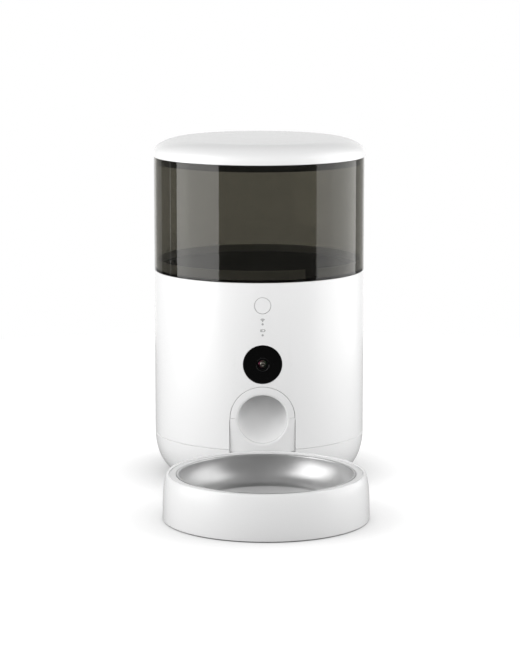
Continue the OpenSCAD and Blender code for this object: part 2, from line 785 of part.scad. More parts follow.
module rotor_shaft() {
    color("silver") at_body() translate([0, 0, gear_plate_z + 1])
        cylinder(r = shaft_r, h = arm_z - gear_plate_z);
}

// ---------- rotor ----------

module portion_rotor() {
    color("gray") at_body() difference() {
        union() {
            translate([0, 0, rotor_z]) cylinder(r = hub_r, h = hub_top - rotor_z);
            for (i = [0:vanes - 1]) rotate([0, 0, 90 + (i + 0.5) * 360 / vanes])
                translate([hub_r - 2, -vane_t / 2, rotor_z]) cube([rotor_r - hub_r + 1.9, vane_t, rotor_h]);
        }
        translate([0, 0, rotor_z - 1]) cylinder(r = shaft_r, h = hub_top - rotor_z + 2);
    }
}

module stirrer() {
    color("gray") at_body() difference() {
        union() {
            translate([0, 0, hub_top]) cylinder(r = hub_r - 2, h = stirrer_hub_h);
            for (side = [-1, 1]) translate([0, 0, arm_z]) rotate([0, side * 90, 0])
                cylinder(r = arm_r, h = stirrer_reach);
            translate([stirrer_reach - arm_r, 0, arm_z]) cylinder(r = arm_r, h = finger_h);
            translate([stirrer_reach - arm_r, 0, arm_z + finger_h]) sphere(r = arm_r);
        }
        translate([0, 0, hub_top - 1]) cylinder(r = shaft_r, h = arm_z - hub_top + 2);
    }
}

// ---------- outlet ----------

// Food duct from the discharge opening to the mouth, grown by g
module duct(g, up, out) {
    hull() {
        block([discharge_w + 2 * g, discharge_l + 2 * g, 0.5], [0, discharge_y, chamber_floor_z - 0.5 + up]);
        to_front(0, mouth_h, mouth_r + g, inner_r - 4, inner_r - 3 + out, $fn = 48);
    }
}

// Everything inside the outlet cover's inner face
module inside_cover() {
    rotate_extrude() polygon([[0, 0], [inner_r - cover_tuck, 0], [inner_r - cover_tuck, cover_z],
        [inner_r, fold_z], [inner_r, chamber_floor_z], [0, chamber_floor_z]]);
}

module chute() {
    color("gainsboro") at_body() difference() {
        union() {
            intersection() {
                duct(chute_wall, 0, 5);
                inside_cover();
            }
            block([discharge_w + 2 * chute_wall + 12, discharge_l + 2 * chute_wall, 2],
                [0, discharge_y, chamber_floor_z - 2]);
        }
        duct(0, 1, 6);
    }
}

module cover_blank() {
    rotate_extrude() polygon([[inner_r - cover_tuck, cover_z], [body_r - cover_tuck, cover_z],
        [body_r, fold_z], [body_r, fold_z + arch_r + 5], [inner_r, fold_z + arch_r + 5], [inner_r, fold_z]]);
}

module chute_cover() {
    color("white") at_body() difference() {
        union() {
            intersection() {
                cover_blank();
                front_prism(body_r / 2, body_r + 1) arch_shape(0, cover_z - 1, 0);
            }
            // flange behind the shell
            intersection() {
                ring(inner_r, inner_r - cover_lip_t, fold_z - 6, arch_r + 12);
                front_prism(body_r / 2, body_r) difference() {
                    arch_shape(cover_lip, fold_z - 8, 0);
                    arch_shape(-cover_lip, fold_z - 9, 0);
                }
            }
            intersection() {
                ring(inner_r + 1, inner_r - cover_lip_t, fold_z - 4, arch_r + 10);
                front_prism(body_r / 2, body_r) difference() {
                    arch_shape(0, fold_z - 8, 0);
                    arch_shape(-cover_lip, fold_z - 9, 0);
                }
            }
        }
        to_front(0, mouth_h, mouth_r, body_r / 2, body_r + 1);
        translate([0, -(inner_r - 2), mouth_h]) rotate([90, 0, 0])
            cylinder(r1 = mouth_r - 0.2, r2 = mouth_r + mouth_flare, h = wall + 3);
    }
}

// ---------- front panel ----------

module camera_window() {
    color([0.03, 0.03, 0.03]) at_body() difference() {
        union() {
            intersection() {
                ring(body_r - 0.3, inner_r - 1, window_h - window_r, window_d);
                to_front(0, window_h, window_r, body_r / 2, body_r + 1);
            }
            intersection() {
                ring(inner_r, inner_r - 1.8, window_h - window_r - 2, window_d + 4);
                to_front(0, window_h, window_r + window_lip, body_r / 2, body_r + 1);
            }
        }
        to_front(0, window_h, lens_r, body_r / 2, body_r + 1);
    }
}

module camera_module() {
    color("dimgray") at_body() difference() {
        union() {
            block([2 * camera_post_x + 8, board_t, camera_board_h],
                [0, -camera_board_y + board_t / 2, window_h - camera_board_h / 2]);
            block([camera_box_w, camera_box_t + eps, camera_box_h],
                [0, -camera_board_y - (camera_box_t - eps) / 2, window_h - camera_box_h / 2]);
            to_front(0, window_h, lens_r - 0.3, camera_board_y, body_r - 1.9);
        }
        to_front(0, window_h, lens_r - 1.2, body_r - 3.4, body_r + 1);
    }
}

module camera_lens() {
    color("midnightblue") at_body() intersection() {
        to_front(0, window_h, lens_r - 1.2, body_r - 3.4, body_r);
        translate([0, -(body_r - 1.4 - 9), window_h]) sphere(r = 9);
    }
}

module infrared_lamps() {
    color("dimgray") at_body() for (x = [-infrared_x, infrared_x])
        to_front(x, window_h, infrared_r, camera_board_y, inner_r - 3.2);
}

module main_board() {
    color("darkgreen") at_body() difference() {
        translate([-board_w / 2, -board_y, board_bottom]) cube([board_w, board_t, board_top - board_bottom]);
        for (x = [-board_post_x, board_post_x], z = board_post_z)
            to_front(x, z, board_screw_r + fit, board_y - board_t - 1, board_y + 1);
    }
}

module board_screws() {
    color("silver") at_body() for (x = [-board_post_x, board_post_x], z = board_post_z) {
        to_front(x, z, 2.2, board_y - board_t - 1.4, board_y - board_t);
        to_front(x, z, board_screw_r, board_y - board_t - eps, board_y + 5);
    }
}

module button_switch() {
    color("black") at_body() {
        translate([-3, -board_y - switch_h + 1, button_h - 3]) cube([6, switch_h - 1, 6]);
        to_front(0, button_h, 1.7, board_y + switch_h - 1 - eps, board_y + switch_h);
    }
}

// Two light pipes that end flush with the body
module status_lamps() {
    color("honeydew") at_body() for (z = lamp_h) {
        to_front(0, z, lamp_d / 2, inner_r - 6, body_r - 0.15);
        to_front(0, z, lamp_d / 2 + 0.8, board_y, inner_r - 5);
    }
}

module speaker() {
    color("black") at_body() {
        to_rear(0, speaker_h, speaker_r, speaker_seat - 2, speaker_seat);
        to_rear(0, speaker_h, speaker_r * 0.55, speaker_seat - 8, speaker_seat - 2 + eps);
    }
}

module feed_button() {
    color("whitesmoke") at_body() {
        intersection() {
            ring(body_r - 0.2, inner_r - 1, button_h - button_r, button_d);
            to_front(0, button_h, button_r, body_r / 2, body_r + 1);
        }
        to_front(0, button_h, button_flange_r, inner_r - 2.2, inner_r - 0.8);
        to_front(0, button_h, stem_r, stem_end, inner_r - 2.2 + eps);
    }
}

// ---------- tank ----------

module tank() {
    color([0.2, 0.19, 0.17, 0.6]) at_body() rotate_extrude() polygon([
        [spigot_in_r, tank_bottom - spigot_h], [spigot_r - edge, tank_bottom - spigot_h],
        [spigot_r, tank_bottom - spigot_h + edge], [spigot_r, tank_bottom], [body_r - edge / 2, tank_bottom],
        [body_r, tank_bottom + edge / 2], [body_r, tank_top], [tank_in_r, tank_top], [tank_in_r, ledge_z],
        [spigot_in_r, ledge_z]]);
}

module funnel() {
    slope = (funnel_top - cone_z) / (funnel_in_r - throat_r);
    drop = funnel_wall * sqrt(1 + slope * slope);
    color([0.08, 0.08, 0.08]) at_body() rotate_extrude() polygon([
        [throat_r, throat_z], [throat_r + funnel_wall, throat_z],
        [throat_r + funnel_wall, cone_z + slope * funnel_wall - drop],
        [throat_r + (ledge_z + drop - cone_z) / slope, ledge_z], [funnel_r, ledge_z],
        [funnel_r, funnel_top], [funnel_in_r, funnel_top], [throat_r, cone_z]]);
}

module funnel_ring() {
    color("gray") at_body() difference() {
        ring(funnel_ring_r, funnel_ring_in_r, ledge_z, funnel_ring_top - ledge_z);
        rotate([0, 0, funnel_ring_turn])
            block([funnel_ring_gap, 10, funnel_ring_top - ledge_z + 2], [0, -funnel_ring_r, ledge_z - 1]);
    }
}

// ---------- lid ----------

// Outline of the lid's domed top, moved in by t
function lid_dome(t) = let (r1 = lid_r - lid_edge_w, z1 = lid_z + lid_side) concat(
    arc_points(r1, z1, lid_edge_w - t, lid_edge_h - t, 0, 90, 12),
    [for (k = [0.9, 0.8, 0.7, 0.6, 0.5, 0.4, 0.3, 0.2, 0.1, 0])
        [r1 * k, z1 + lid_edge_h - t + lid_crown * (1 - k * k)]]);

function reversed(list) = [for (i = [len(list) - 1:-1:0]) list[i]];

module lid() {
    color("white") at_body() rotate_extrude() polygon(concat(
        [[lid_r - lid_wall, lid_z], [lid_r - edge / 2, lid_z], [lid_r, lid_z + edge / 2]],
        lid_dome(0), reversed(lid_dome(lid_wall))));
}

module lid_liner() {
    color("whitesmoke") at_body() difference() {
        union() {
            translate([0, 0, lid_z]) cylinder(r = lid_r - lid_wall, h = liner_t);
            ring(liner_r - seal_t, liner_r - seal_t - liner_t, lid_z - seal_h, seal_h + eps);
        }
        translate([0, 0, lid_z - 1]) cylinder(r = cup_r, h = liner_t + 2);
    }
}

module lid_seal() { color("dimgray") at_body() ring(liner_r, liner_r - seal_t, lid_z - seal_h, seal_h); }

module desiccant_cup() {
    color("whitesmoke") at_body() {
        ring(cup_r, cup_r - cup_wall, lid_z - cup_h + cup_cover_t, cup_h - cup_cover_t + liner_t + eps);
        translate([0, 0, lid_z + liner_t]) cylinder(r = cup_r + 3, h = cup_wall);
    }
}

module desiccant_bag() {
    color("linen") at_body() translate([0, 0, lid_z - cup_h + cup_cover_t + 0.6])
        cylinder(r = cup_r - cup_wall - 1, h = cup_h - cup_cover_t + liner_t - 0.6);
}

module desiccant_cover() {
    color("whitesmoke") at_body() difference() {
        union() {
            translate([0, 0, lid_z - cup_h]) cylinder(r = cup_r + fit_gap + cup_wall, h = cup_cover_t - fit);
            ring(cup_r + fit_gap + cup_wall, cup_r + fit_gap, lid_z - cup_h, cup_cover_t + 4);
            block([3, cup_d * 0.6, 3 + eps], [0, 0, lid_z - cup_h - 3]);
        }
        for (a = [15:30:345]) rotate([0, 0, a]) translate([cup_r * 0.45, -0.9, lid_z - cup_h - 4])
            cube([cup_r * 0.4, 1.8, cup_cover_t + 5]);
    }
}

// ---------- bowl and stand ----------

module bowl_stand() {
    color("white") at_bowl() difference() {
        rotate_extrude() polygon(concat(
            [[stand_foot_r - stand_wall + 1, stand_gap], [stand_foot_r, stand_gap]],
            arc_points(ridge_r, shoulder_z, stand_shoulder_r - ridge_r, ridge_rise, 0, 90, 12),
            [[stand_in_r, stand_h - 0.5], [stand_in_r, stand_ledge_z], [ring_in_r + 1, stand_ledge_z],
            [ring_in_r + 1, stand_ledge_z - 2], [ring_in_r + 4, stand_ledge_z - 2.4],
            [stand_shoulder_r - stand_wall, shoulder_z], [stand_foot_r - stand_wall, stand_plate_top + 3],
            [stand_foot_r - stand_wall, stand_plate_top], [stand_foot_r - stand_wall + 1, stand_plate_top]]));
        translate([-tongue_w / 2 - fit, 0, stand_gap - 1])
            cube([tongue_w + 2 * fit, stand_foot_r + 1, stand_plate_top + fit - stand_gap + 1]);
    }
}

// Bottom plate of the stand, with the tongue that slides in under the body
module stand_base() {
    color("white") at_bowl() {
        translate([0, 0, stand_plate_z]) cylinder(r = stand_foot_r - stand_wall + 1 - fit, h = stand_plate_t);
        translate([-tongue_w / 2, 0, tongue_z]) cube([tongue_w, bowl_reach + tongue_end, tongue_t]);
    }
}

module stand_feet() {
    color("dimgray") at_bowl() for (a = [45:90:315]) rotate([0, 0, a]) translate([stand_foot_r - 18, 0, 0])
        cylinder(r = foot_d / 2, h = stand_plate_z);
}

module bowl_ring() {
    color("whitesmoke") at_bowl() rotate_extrude() polygon([
        [ring_in_r, stand_ledge_z], [ring_r, stand_ledge_z], [ring_r, stand_ledge_z + ring_h],
        [bowl_r + fit_gap, stand_ledge_z + ring_h + 0.3], [bowl_r + fit_gap, bowl_top - steel_t],
        [ring_in_r, bowl_top - steel_t]]);
}

// The bowl's side, from its floor to the bend below its rim, moved out by t
function bowl_side(t) = arc_points(bowl_floor_r, bowl_top - bowl_bend,
    bowl_in_r - bowl_floor_r + t, bowl_depth - bowl_bend + t, -90, 0, 12);

// The bend below the rim, moved in by t, from angle a0 to a1
function bowl_rim_bend(t, a0, a1, n) = let (bend_r = bowl_bend - t)
    arc_points(bowl_in_r + bowl_bend, bowl_top - bowl_bend, bend_r, bend_r, a0, a1, n);

module bowl() {
    color("silver") at_bowl() rotate_extrude() polygon(concat(
        [[0, bowl_z]],
        bowl_side(0),
        bowl_rim_bend(0, 180, 90, 4),
        [[bowl_r - 0.3, bowl_top], [bowl_r, bowl_top - 0.3], [bowl_r, bowl_top - steel_t],
            [bowl_in_r + bowl_bend, bowl_top - steel_t]],
        bowl_rim_bend(steel_t, 110, 160, 2),
        reversed(bowl_side(steel_t)),
        [[0, bowl_z - steel_t]]));
}

base_shell();
battery_cover();
cover_screw();
battery_contacts();
backup_cells();
rubber_feet();
base_screws();
power_inlet();
body_shell();
hopper_deck();
portion_baffle();
chamber_floor();
chamber_screws();
shaft_bush();
gear_cover();
gearmotor();
motor_screws();
chute();
chute_cover();
camera_window();
camera_module();
camera_lens();
infrared_lamps();
main_board();
board_screws();
button_switch();
status_lamps();
speaker();
feed_button();
portion_rotor();
stirrer();
rotor_shaft();
driven_gear();
pinion();
motor_shaft();
tank();
funnel();
funnel_ring();
lid();
lid_liner();
lid_seal();
desiccant_cup();
desiccant_bag();
desiccant_cover();
bowl_stand();
stand_base();
stand_feet();
bowl_ring();
bowl();
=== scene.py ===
"""Looks of the automatic pet feeder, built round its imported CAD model. Lengths are in metres."""

import json
import math

import bmesh
import bpy
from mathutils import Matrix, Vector


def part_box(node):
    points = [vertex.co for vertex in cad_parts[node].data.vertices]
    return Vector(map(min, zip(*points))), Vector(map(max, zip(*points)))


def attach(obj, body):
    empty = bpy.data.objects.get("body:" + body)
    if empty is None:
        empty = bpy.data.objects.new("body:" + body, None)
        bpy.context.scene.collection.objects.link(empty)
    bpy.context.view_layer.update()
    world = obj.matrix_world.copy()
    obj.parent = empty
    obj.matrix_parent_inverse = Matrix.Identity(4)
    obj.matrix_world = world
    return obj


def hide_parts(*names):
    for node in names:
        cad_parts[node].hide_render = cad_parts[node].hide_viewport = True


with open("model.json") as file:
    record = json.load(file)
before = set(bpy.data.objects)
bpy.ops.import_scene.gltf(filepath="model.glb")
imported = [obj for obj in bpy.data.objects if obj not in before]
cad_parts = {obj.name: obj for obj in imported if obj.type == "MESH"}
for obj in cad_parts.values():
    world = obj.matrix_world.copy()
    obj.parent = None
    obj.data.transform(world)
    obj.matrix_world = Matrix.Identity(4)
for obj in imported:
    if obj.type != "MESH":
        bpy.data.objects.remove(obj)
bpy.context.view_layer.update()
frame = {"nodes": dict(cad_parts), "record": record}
scene = bpy.context.scene
MM = 0.001


# ---------------------------------------------------------------- places
# They come from the boxes of the CAD pieces. Sizes that no box shows are given.

body_lo, body_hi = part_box("body_shell")
BODY_R = (body_hi.x - body_lo.x) / 2
BODY_Y = (body_lo.y + body_hi.y) / 2
BODY_TOP = body_hi.z
WALL = 2.8 * MM
LEDGE_Z = BODY_TOP + 2 * MM  # the tank's ledge, on which the funnel's rim lies

cover_lo, cover_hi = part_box("chute_cover")
COVER_FLANGE = 1.8 * MM
ARCH_R = (cover_hi.x - cover_lo.x) / 2 - COVER_FLANGE
FOLD_Z = cover_hi.z - ARCH_R - COVER_FLANGE
COVER_Z = cover_lo.z
COVER_TUCK = 2.4 * MM  # how far the cover's foot draws in
COVER_WIDENS = 0.35 * MM  # how far its sides stand out past the arch
COVER_EDGE = 0.4 * MM  # rounding of its edge
FOLD_GROOVE = 1.2 * MM  # depth of the fold line
FOLD_GROOVE_HALF = 0.16 * MM  # half its width
MOUTH_R = 22.8 * MM
MOUTH_Z = FOLD_Z - 0.9 * MM
LIP_R = 2.4 * MM

window_lo, window_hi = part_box("camera_window")
WINDOW_Z = (window_lo.z + window_hi.z) / 2
WINDOW_LIP = 1 * MM
WINDOW_R = (window_hi.z - window_lo.z) / 2 - WINDOW_LIP

button_lo, button_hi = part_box("feed_button")
BUTTON_Z = (button_lo.z + button_hi.z) / 2
BUTTON_R = 7.5 * MM
BUTTON_FLANGE_R = BUTTON_R + 1.6 * MM

lamp_lo, lamp_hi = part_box("status_lamps")
LAMP_SHOULDER = 1.8 * MM
LAMP_Z = (lamp_hi.z - LAMP_SHOULDER, lamp_lo.z + LAMP_SHOULDER)

bowl_lo, bowl_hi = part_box("bowl")
BOWL_Y = (bowl_lo.y + bowl_hi.y) / 2
BOWL_R = (bowl_hi.x - bowl_lo.x) / 2
BOWL_TOP = bowl_hi.z
BOWL_BOTTOM = bowl_lo.z
BOWL_FLOOR_R = 57 * MM
BOWL_FLOOR_RISE = 5 * MM  # how far the flat floor lies over the solid's
STEEL_T = 0.9 * MM

lid_lo, lid_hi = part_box("lid")
LID_R = (lid_hi.x - lid_lo.x) / 2
LID_Z = lid_lo.z
LID_TOP = lid_hi.z


# ---------------------------------------------------------------- node helpers

NOISE_RANGE = (0.3, 0.7)  # where most values of Blender's noise lie
TONE_STOPS = (0.2, 0.8)


def new_material(name):
    """A material with a principled shader, its node tree and that shader."""
    material = bpy.data.materials.new(name)
    material.use_nodes = True
    tree = material.node_tree
    tree.nodes.clear()
    output = tree.nodes.new("ShaderNodeOutputMaterial")
    shader = tree.nodes.new("ShaderNodeBsdfPrincipled")
    tree.links.new(shader.outputs["BSDF"], output.inputs["Surface"])
    return material, tree, shader


def add(tree, kind, **values):
    """Adds a node. Keys that name a setting of the node set it, the others set a socket's value."""
    node = tree.nodes.new(kind)
    for key, value in values.items():
        if hasattr(node, key):
            setattr(node, key, value)
        else:
            node.inputs[key.replace("_", " ").title()].default_value = value
    return node


def noise(tree, scale, detail=3.0, rough=0.55, stretch=None):
    """Noise over the piece's own coordinates, stretched along the axes where asked."""
    place = tree.nodes.new("ShaderNodeTexCoord")
    texture = add(tree, "ShaderNodeTexNoise", scale=scale, detail=detail, roughness=rough)
    source = place.outputs["Object"]
    if stretch:
        mapping = tree.nodes.new("ShaderNodeMapping")
        mapping.inputs["Scale"].default_value = stretch
        tree.links.new(source, mapping.inputs["Vector"])
        source = mapping.outputs["Vector"]
    tree.links.new(source, texture.inputs["Vector"])
    return texture.outputs["Fac"]


def connect(tree, shader, **sources):
    """Leads each source into the shader's socket of that name."""
    for key, source in sources.items():
        tree.links.new(source, shader.inputs[key.replace("_", " ").title()])


def spread(tree, value, low, high):
    """Maps noise, which keeps near its middle, to the range low to high."""
    node = tree.nodes.new("ShaderNodeMapRange")
    for name, limit in zip(("From Min", "From Max", "To Min", "To Max"), (*NOISE_RANGE, low, high)):
        node.inputs[name].default_value = limit
    tree.links.new(value, node.inputs["Value"])
    return node.outputs["Result"]


def two_tone(tree, value, dark, light):
    """A colour between dark and light, led by value from 0 to 1."""
    ramp = tree.nodes.new("ShaderNodeValToRGB")
    ramp.color_ramp.interpolation = "EASE"
    for stop, place, colour in zip(ramp.color_ramp.elements, TONE_STOPS, (dark, light)):
        stop.position = place
        stop.color = (*colour, 1)
    tree.links.new(value, ramp.inputs["Fac"])
    return ramp.outputs["Color"]


def set_or_link(tree, sockets, values):
    """Gives each socket its value, which is a number or another node's output."""
    for socket, value in zip(sockets, values):
        if isinstance(value, (int, float)):
            socket.default_value = value
        else:
            tree.links.new(value, socket)


def maths(tree, operation, a, b):
    """A math node over two sockets or numbers."""
    node = add(tree, "ShaderNodeMath", operation=operation)
    set_or_link(tree, node.inputs, (a, b))
    return node.outputs["Value"]


def choose(tree, factor, a, b):
    """The value a where factor is 0 and b where it is 1."""
    node = tree.nodes.new("ShaderNodeMix")
    tree.links.new(factor, node.inputs["Factor"])
    set_or_link(tree, (node.inputs["A"], node.inputs["B"]), (a, b))
    return node.outputs["Result"]


def smooth_step(tree, value, low, high):
    """Rises softly from 0 at low to 1 at high."""
    node = tree.nodes.new("ShaderNodeMapRange")
    node.interpolation_type = "SMOOTHSTEP"
    node.inputs["From Min"].default_value = low
    node.inputs["From Max"].default_value = high
    tree.links.new(value, node.inputs["Value"])
    return node.outputs["Result"]


def bump(tree, shader, height, strength, distance, edge=0.0):
    """Fine relief, and where asked a slight rounding of every sharp edge."""
    node = tree.nodes.new("ShaderNodeBump")
    node.inputs["Strength"].default_value = strength
    node.inputs["Distance"].default_value = distance
    tree.links.new(height, node.inputs["Height"])
    if edge:
        bevel = add(tree, "ShaderNodeBevel", samples=4, radius=edge)
        tree.links.new(bevel.outputs["Normal"], node.inputs["Normal"])
    tree.links.new(node.outputs["Normal"], shader.inputs["Normal"])


# ---------------------------------------------------------------- materials

def grey(value):
    """The colour whose three channels are alike."""
    return (value, value, value)


def moulded(name, dark, light, rough, relief=0.05, grain=2600, edge=0.3 * MM, coat=0.0, specular=0.5):
    """Injection-moulded plastic: fine spark-eroded grain, slow tone changes and gloss that varies."""
    material, tree, shader = new_material(name)
    connect(tree, shader, base_color=two_tone(tree, noise(tree, 9, detail=1), dark, light),
            roughness=spread(tree, noise(tree, grain, detail=2), rough - 0.02, rough + 0.02))
    bump(tree, shader, noise(tree, grain, detail=2), strength=relief, distance=0.03 * MM, edge=edge)
    shader.inputs["IOR"].default_value = 1.5
    shader.inputs["Specular IOR Level"].default_value = specular
    shader.inputs["Coat Weight"].default_value = coat
    shader.inputs["Coat Roughness"].default_value = 0.04
    return material


def smoked():
    """Clear plastic with a brown-grey smoke tint, very faintly uneven like any moulded wall."""
    material, tree, shader = new_material("smoked_clear")
    tint = two_tone(tree, noise(tree, 6), (0.243, 0.234, 0.201), (0.251, 0.242, 0.209))
    connect(tree, shader, base_color=tint, roughness=spread(tree, noise(tree, 40), 0.015, 0.03))
    bump(tree, shader, noise(tree, 25, detail=1), strength=0.02, distance=0.2 * MM)
    shader.inputs["Transmission Weight"].default_value = 1.0
    shader.inputs["IOR"].default_value = 1.49
    return material


def from_bowl_axis(tree):
    """Distance from the bowl's upright axis, and the height."""
    place = tree.nodes.new("ShaderNodeTexCoord")
    split = tree.nodes.new("ShaderNodeSeparateXYZ")
    flat = tree.nodes.new("ShaderNodeCombineXYZ")
    radius = add(tree, "ShaderNodeVectorMath", operation="LENGTH")
    tree.links.new(place.outputs["Object"], split.inputs["Vector"])
    tree.links.new(split.outputs["X"], flat.inputs["X"])
    tree.links.new(maths(tree, "SUBTRACT", split.outputs["Y"], BOWL_Y), flat.inputs["Y"])
    tree.links.new(flat.outputs["Vector"], radius.inputs[0])
    return radius.outputs["Value"], split.outputs["Z"]


def spun_steel():
    """Satin steel with the fine rings that spinning leaves, and a duller floor in the bowl, whose colour is
    made lighter as painted light.
    """
    material, tree, shader = new_material("satin_steel")
    radius, height = from_bowl_axis(tree)
    rings = tree.nodes.new("ShaderNodeCombineXYZ")
    texture = add(tree, "ShaderNodeTexNoise", scale=900.0, detail=4.0, roughness=0.7)
    tree.links.new(radius, rings.inputs["X"])
    tree.links.new(height, rings.inputs["Z"])
    tree.links.new(rings.outputs["Vector"], texture.inputs["Vector"])
    on_floor = smooth_step(tree, radius, BOWL_FLOOR_R + 3 * MM, BOWL_FLOOR_R - 5 * MM)
    # painted light: the floor's colour is pushed lighter to stand for the bright light it reflects
    painted_floor_light = maths(tree, "MULTIPLY", on_floor, 0.5)
    duller = maths(tree, "MULTIPLY", on_floor, 0.24)
    tone = maths(tree, "ADD", maths(tree, "MULTIPLY", noise(tree, 20), 0.6), painted_floor_light)
    satin = spread(tree, texture.outputs["Fac"], 0.34, 0.42)
    connect(tree, shader, base_color=two_tone(tree, tone, grey(0.49), grey(0.80)),
            roughness=maths(tree, "ADD", satin, duller))
    bump(tree, shader, texture.outputs["Fac"], strength=0.12, distance=0.02 * MM)
    shader.inputs["Metallic"].default_value = 1.0
    return material


def metal(name, colour, rough, stretch=(1, 1, 1)):
    """Turned, rolled or plated metal with its tool marks along one direction."""
    material, tree, shader = new_material(name)
    darker = tuple(channel * 0.9 for channel in colour)
    marks = {"scale": 400, "detail": 3, "rough": 0.6, "stretch": stretch}
    connect(tree, shader, base_color=two_tone(tree, noise(tree, 90), darker, colour),
            roughness=spread(tree, noise(tree, **marks), rough - 0.06, rough + 0.06))
    bump(tree, shader, noise(tree, **marks), strength=0.15, distance=0.03 * MM, edge=0.15 * MM)
    shader.inputs["Metallic"].default_value = 1.0
    return material


def rubber():
    """Black rubber without gloss."""
    material, tree, shader = new_material("soft_rubber")
    connect(tree, shader, base_color=two_tone(tree, noise(tree, 120), grey(0.010), grey(0.016)),
            roughness=spread(tree, noise(tree, 300), 0.6, 0.8))
    bump(tree, shader, noise(tree, 1200), strength=0.3, distance=0.05 * MM, edge=0.3 * MM)
    shader.inputs["Specular IOR Level"].default_value = 0.0
    return material


def fabric():
    """Non-woven bag: tangled fibres over the desiccant's beads."""
    material, tree, shader = new_material("bag_fabric")
    beads = add(tree, "ShaderNodeTexVoronoi", scale=420.0)
    place = tree.nodes.new("ShaderNodeTexCoord")
    tree.links.new(place.outputs["Object"], beads.inputs["Vector"])
    fibres = noise(tree, 900, detail=6)
    connect(tree, shader, base_color=two_tone(tree, fibres, (0.66, 0.65, 0.61), (0.80, 0.79, 0.76)))
    bump(tree, shader, beads.outputs["Distance"], strength=0.6, distance=0.8 * MM)
    shader.inputs["Roughness"].default_value = 0.9
    return material


def circuit():
    """Green solder mask with the faint pattern of the copper below it."""
    material, tree, shader = new_material("board_lacquer")
    traces = add(tree, "ShaderNodeTexBrick", scale=240.0)
    place = tree.nodes.new("ShaderNodeTexCoord")
    tree.links.new(place.outputs["Object"], traces.inputs["Vector"])
    traces.inputs["Color1"].default_value = (0.012, 0.11, 0.045, 1)
    traces.inputs["Color2"].default_value = (0.016, 0.13, 0.055, 1)
    traces.inputs["Mortar"].default_value = (0.03, 0.19, 0.09, 1)
    traces.inputs["Mortar Size"].default_value = 0.03
    connect(tree, shader, base_color=traces.outputs["Color"])
    bump(tree, shader, traces.outputs["Fac"], strength=0.2, distance=0.05 * MM)
    shader.inputs["Roughness"].default_value = 0.3
    shader.inputs["Coat Weight"].default_value = 0.4
    return material


def cell_sleeve():
    """Copper-coloured shrink sleeve of a backup cell."""
    material, tree, shader = new_material("cell_sleeve")
    copper = two_tone(tree, noise(tree, 30), (0.42, 0.27, 0.08), (0.50, 0.33, 0.10))
    connect(tree, shader, base_color=copper, roughness=spread(tree, noise(tree, 200), 0.25, 0.35))
    bump(tree, shader, noise(tree, 500), strength=0.1, distance=0.05 * MM)
    shader.inputs["Metallic"].default_value = 0.6
    return material


def clear_glass():
    """Polished glass of the CAD lens, which two finer pieces replace below."""
    material, tree, shader = new_material("lens_front")
    connect(tree, shader, base_color=two_tone(tree, noise(tree, 200), grey(0.93), grey(0.96)),
            roughness=spread(tree, noise(tree, 300), 0.005, 0.015))
    shader.inputs["Transmission Weight"].default_value = 1.0
    shader.inputs["IOR"].default_value = 1.5
    return material


FINISH = {
    "white_plastic": moulded("white_satin", grey(0.805), grey(0.815), rough=0.26, relief=0.04),
    "liner_plastic": moulded("liner_matte", grey(0.70), grey(0.73), rough=0.42, relief=0.08),
    "ring_plastic": moulded("ring_satin", grey(0.70), grey(0.72), rough=0.34),
    "grey_plastic": moulded("grey_matte", grey(0.36), grey(0.39), rough=0.48, relief=0.12),
    "black_plastic": moulded("black_matte", grey(0.006), grey(0.009), rough=0.6, relief=0.10, specular=0.0),
    "window_black": moulded("window_gloss", grey(0.0008), grey(0.0012), rough=0.06, relief=0.0, grain=900,
                            edge=0.2 * MM, coat=0.5),
    "smoked_plastic": smoked(),
    "lens_glass": clear_glass(),
    "light_pipe": moulded("light_pipe", grey(0.38), grey(0.44), rough=0.5, relief=0.1),
    "bowl_steel": spun_steel(),
    "screw_steel": metal("plated_steel", grey(0.55), rough=0.28),
    "motor_steel": metal("rolled_can", grey(0.50), rough=0.34, stretch=(1, 1, 14)),
    "brass": metal("turned_bronze", (0.55, 0.38, 0.16), rough=0.30, stretch=(1, 1, 20)),
    "rubber": rubber(),
    "rotor_plastic": moulded("rotor_grey", (0.11, 0.115, 0.125), (0.13, 0.135, 0.145), rough=0.5,
                             relief=0.12),
    "gear_plastic": moulded("gear_natural", (0.70, 0.67, 0.57), (0.76, 0.73, 0.63), rough=0.38,
                            relief=0.06),
    "board_green": circuit(),
    "cell_jacket": cell_sleeve(),
    "bag_fabric": fabric(),
}
# painted light: a lighter copy of the white plastic for the duct, which lifts its shaded inside
CHUTE_PAINTED_LIGHT = moulded("chute_painted_light", grey(0.87), grey(0.89), rough=0.34, relief=0.04)
PRINT_INK = moulded("print_ink", grey(0.20), grey(0.23), rough=0.45, relief=0.0, grain=900, edge=0)


# ---------------------------------------------------------------- CAD pieces that stay

WELD_GAP = 0.001 * MM
SHARP_ANGLE = 24


def fine_shading():
    """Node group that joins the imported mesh's split corners and shades shallow edges smooth."""
    group = bpy.data.node_groups.new("fine_shading", "GeometryNodeTree")
    group.interface.new_socket("Geometry", in_out="INPUT", socket_type="NodeSocketGeometry")
    group.interface.new_socket("Geometry", in_out="OUTPUT", socket_type="NodeSocketGeometry")
    start = group.nodes.new("NodeGroupInput")
    end = group.nodes.new("NodeGroupOutput")
    weld = group.nodes.new("GeometryNodeMergeByDistance")
    weld.inputs["Distance"].default_value = WELD_GAP
    plain = group.nodes.new("GeometryNodeSetMeshNormal")
    plain.mode = "SHARPNESS"
    angle = group.nodes.new("GeometryNodeInputMeshEdgeAngle")
    steep = group.nodes.new("FunctionNodeCompare")
    steep.data_type = "FLOAT"
    steep.operation = "GREATER_THAN"
    steep.inputs["B"].default_value = math.radians(SHARP_ANGLE)
    group.links.new(start.outputs[0], weld.inputs["Geometry"])
    group.links.new(weld.outputs["Geometry"], plain.inputs["Mesh"])
    group.links.new(angle.outputs["Unsigned Angle"], steep.inputs["A"])
    group.links.new(steep.outputs["Result"], plain.inputs["Edge Sharpness"])
    group.links.new(plain.outputs["Mesh"], end.inputs[0])
    return group


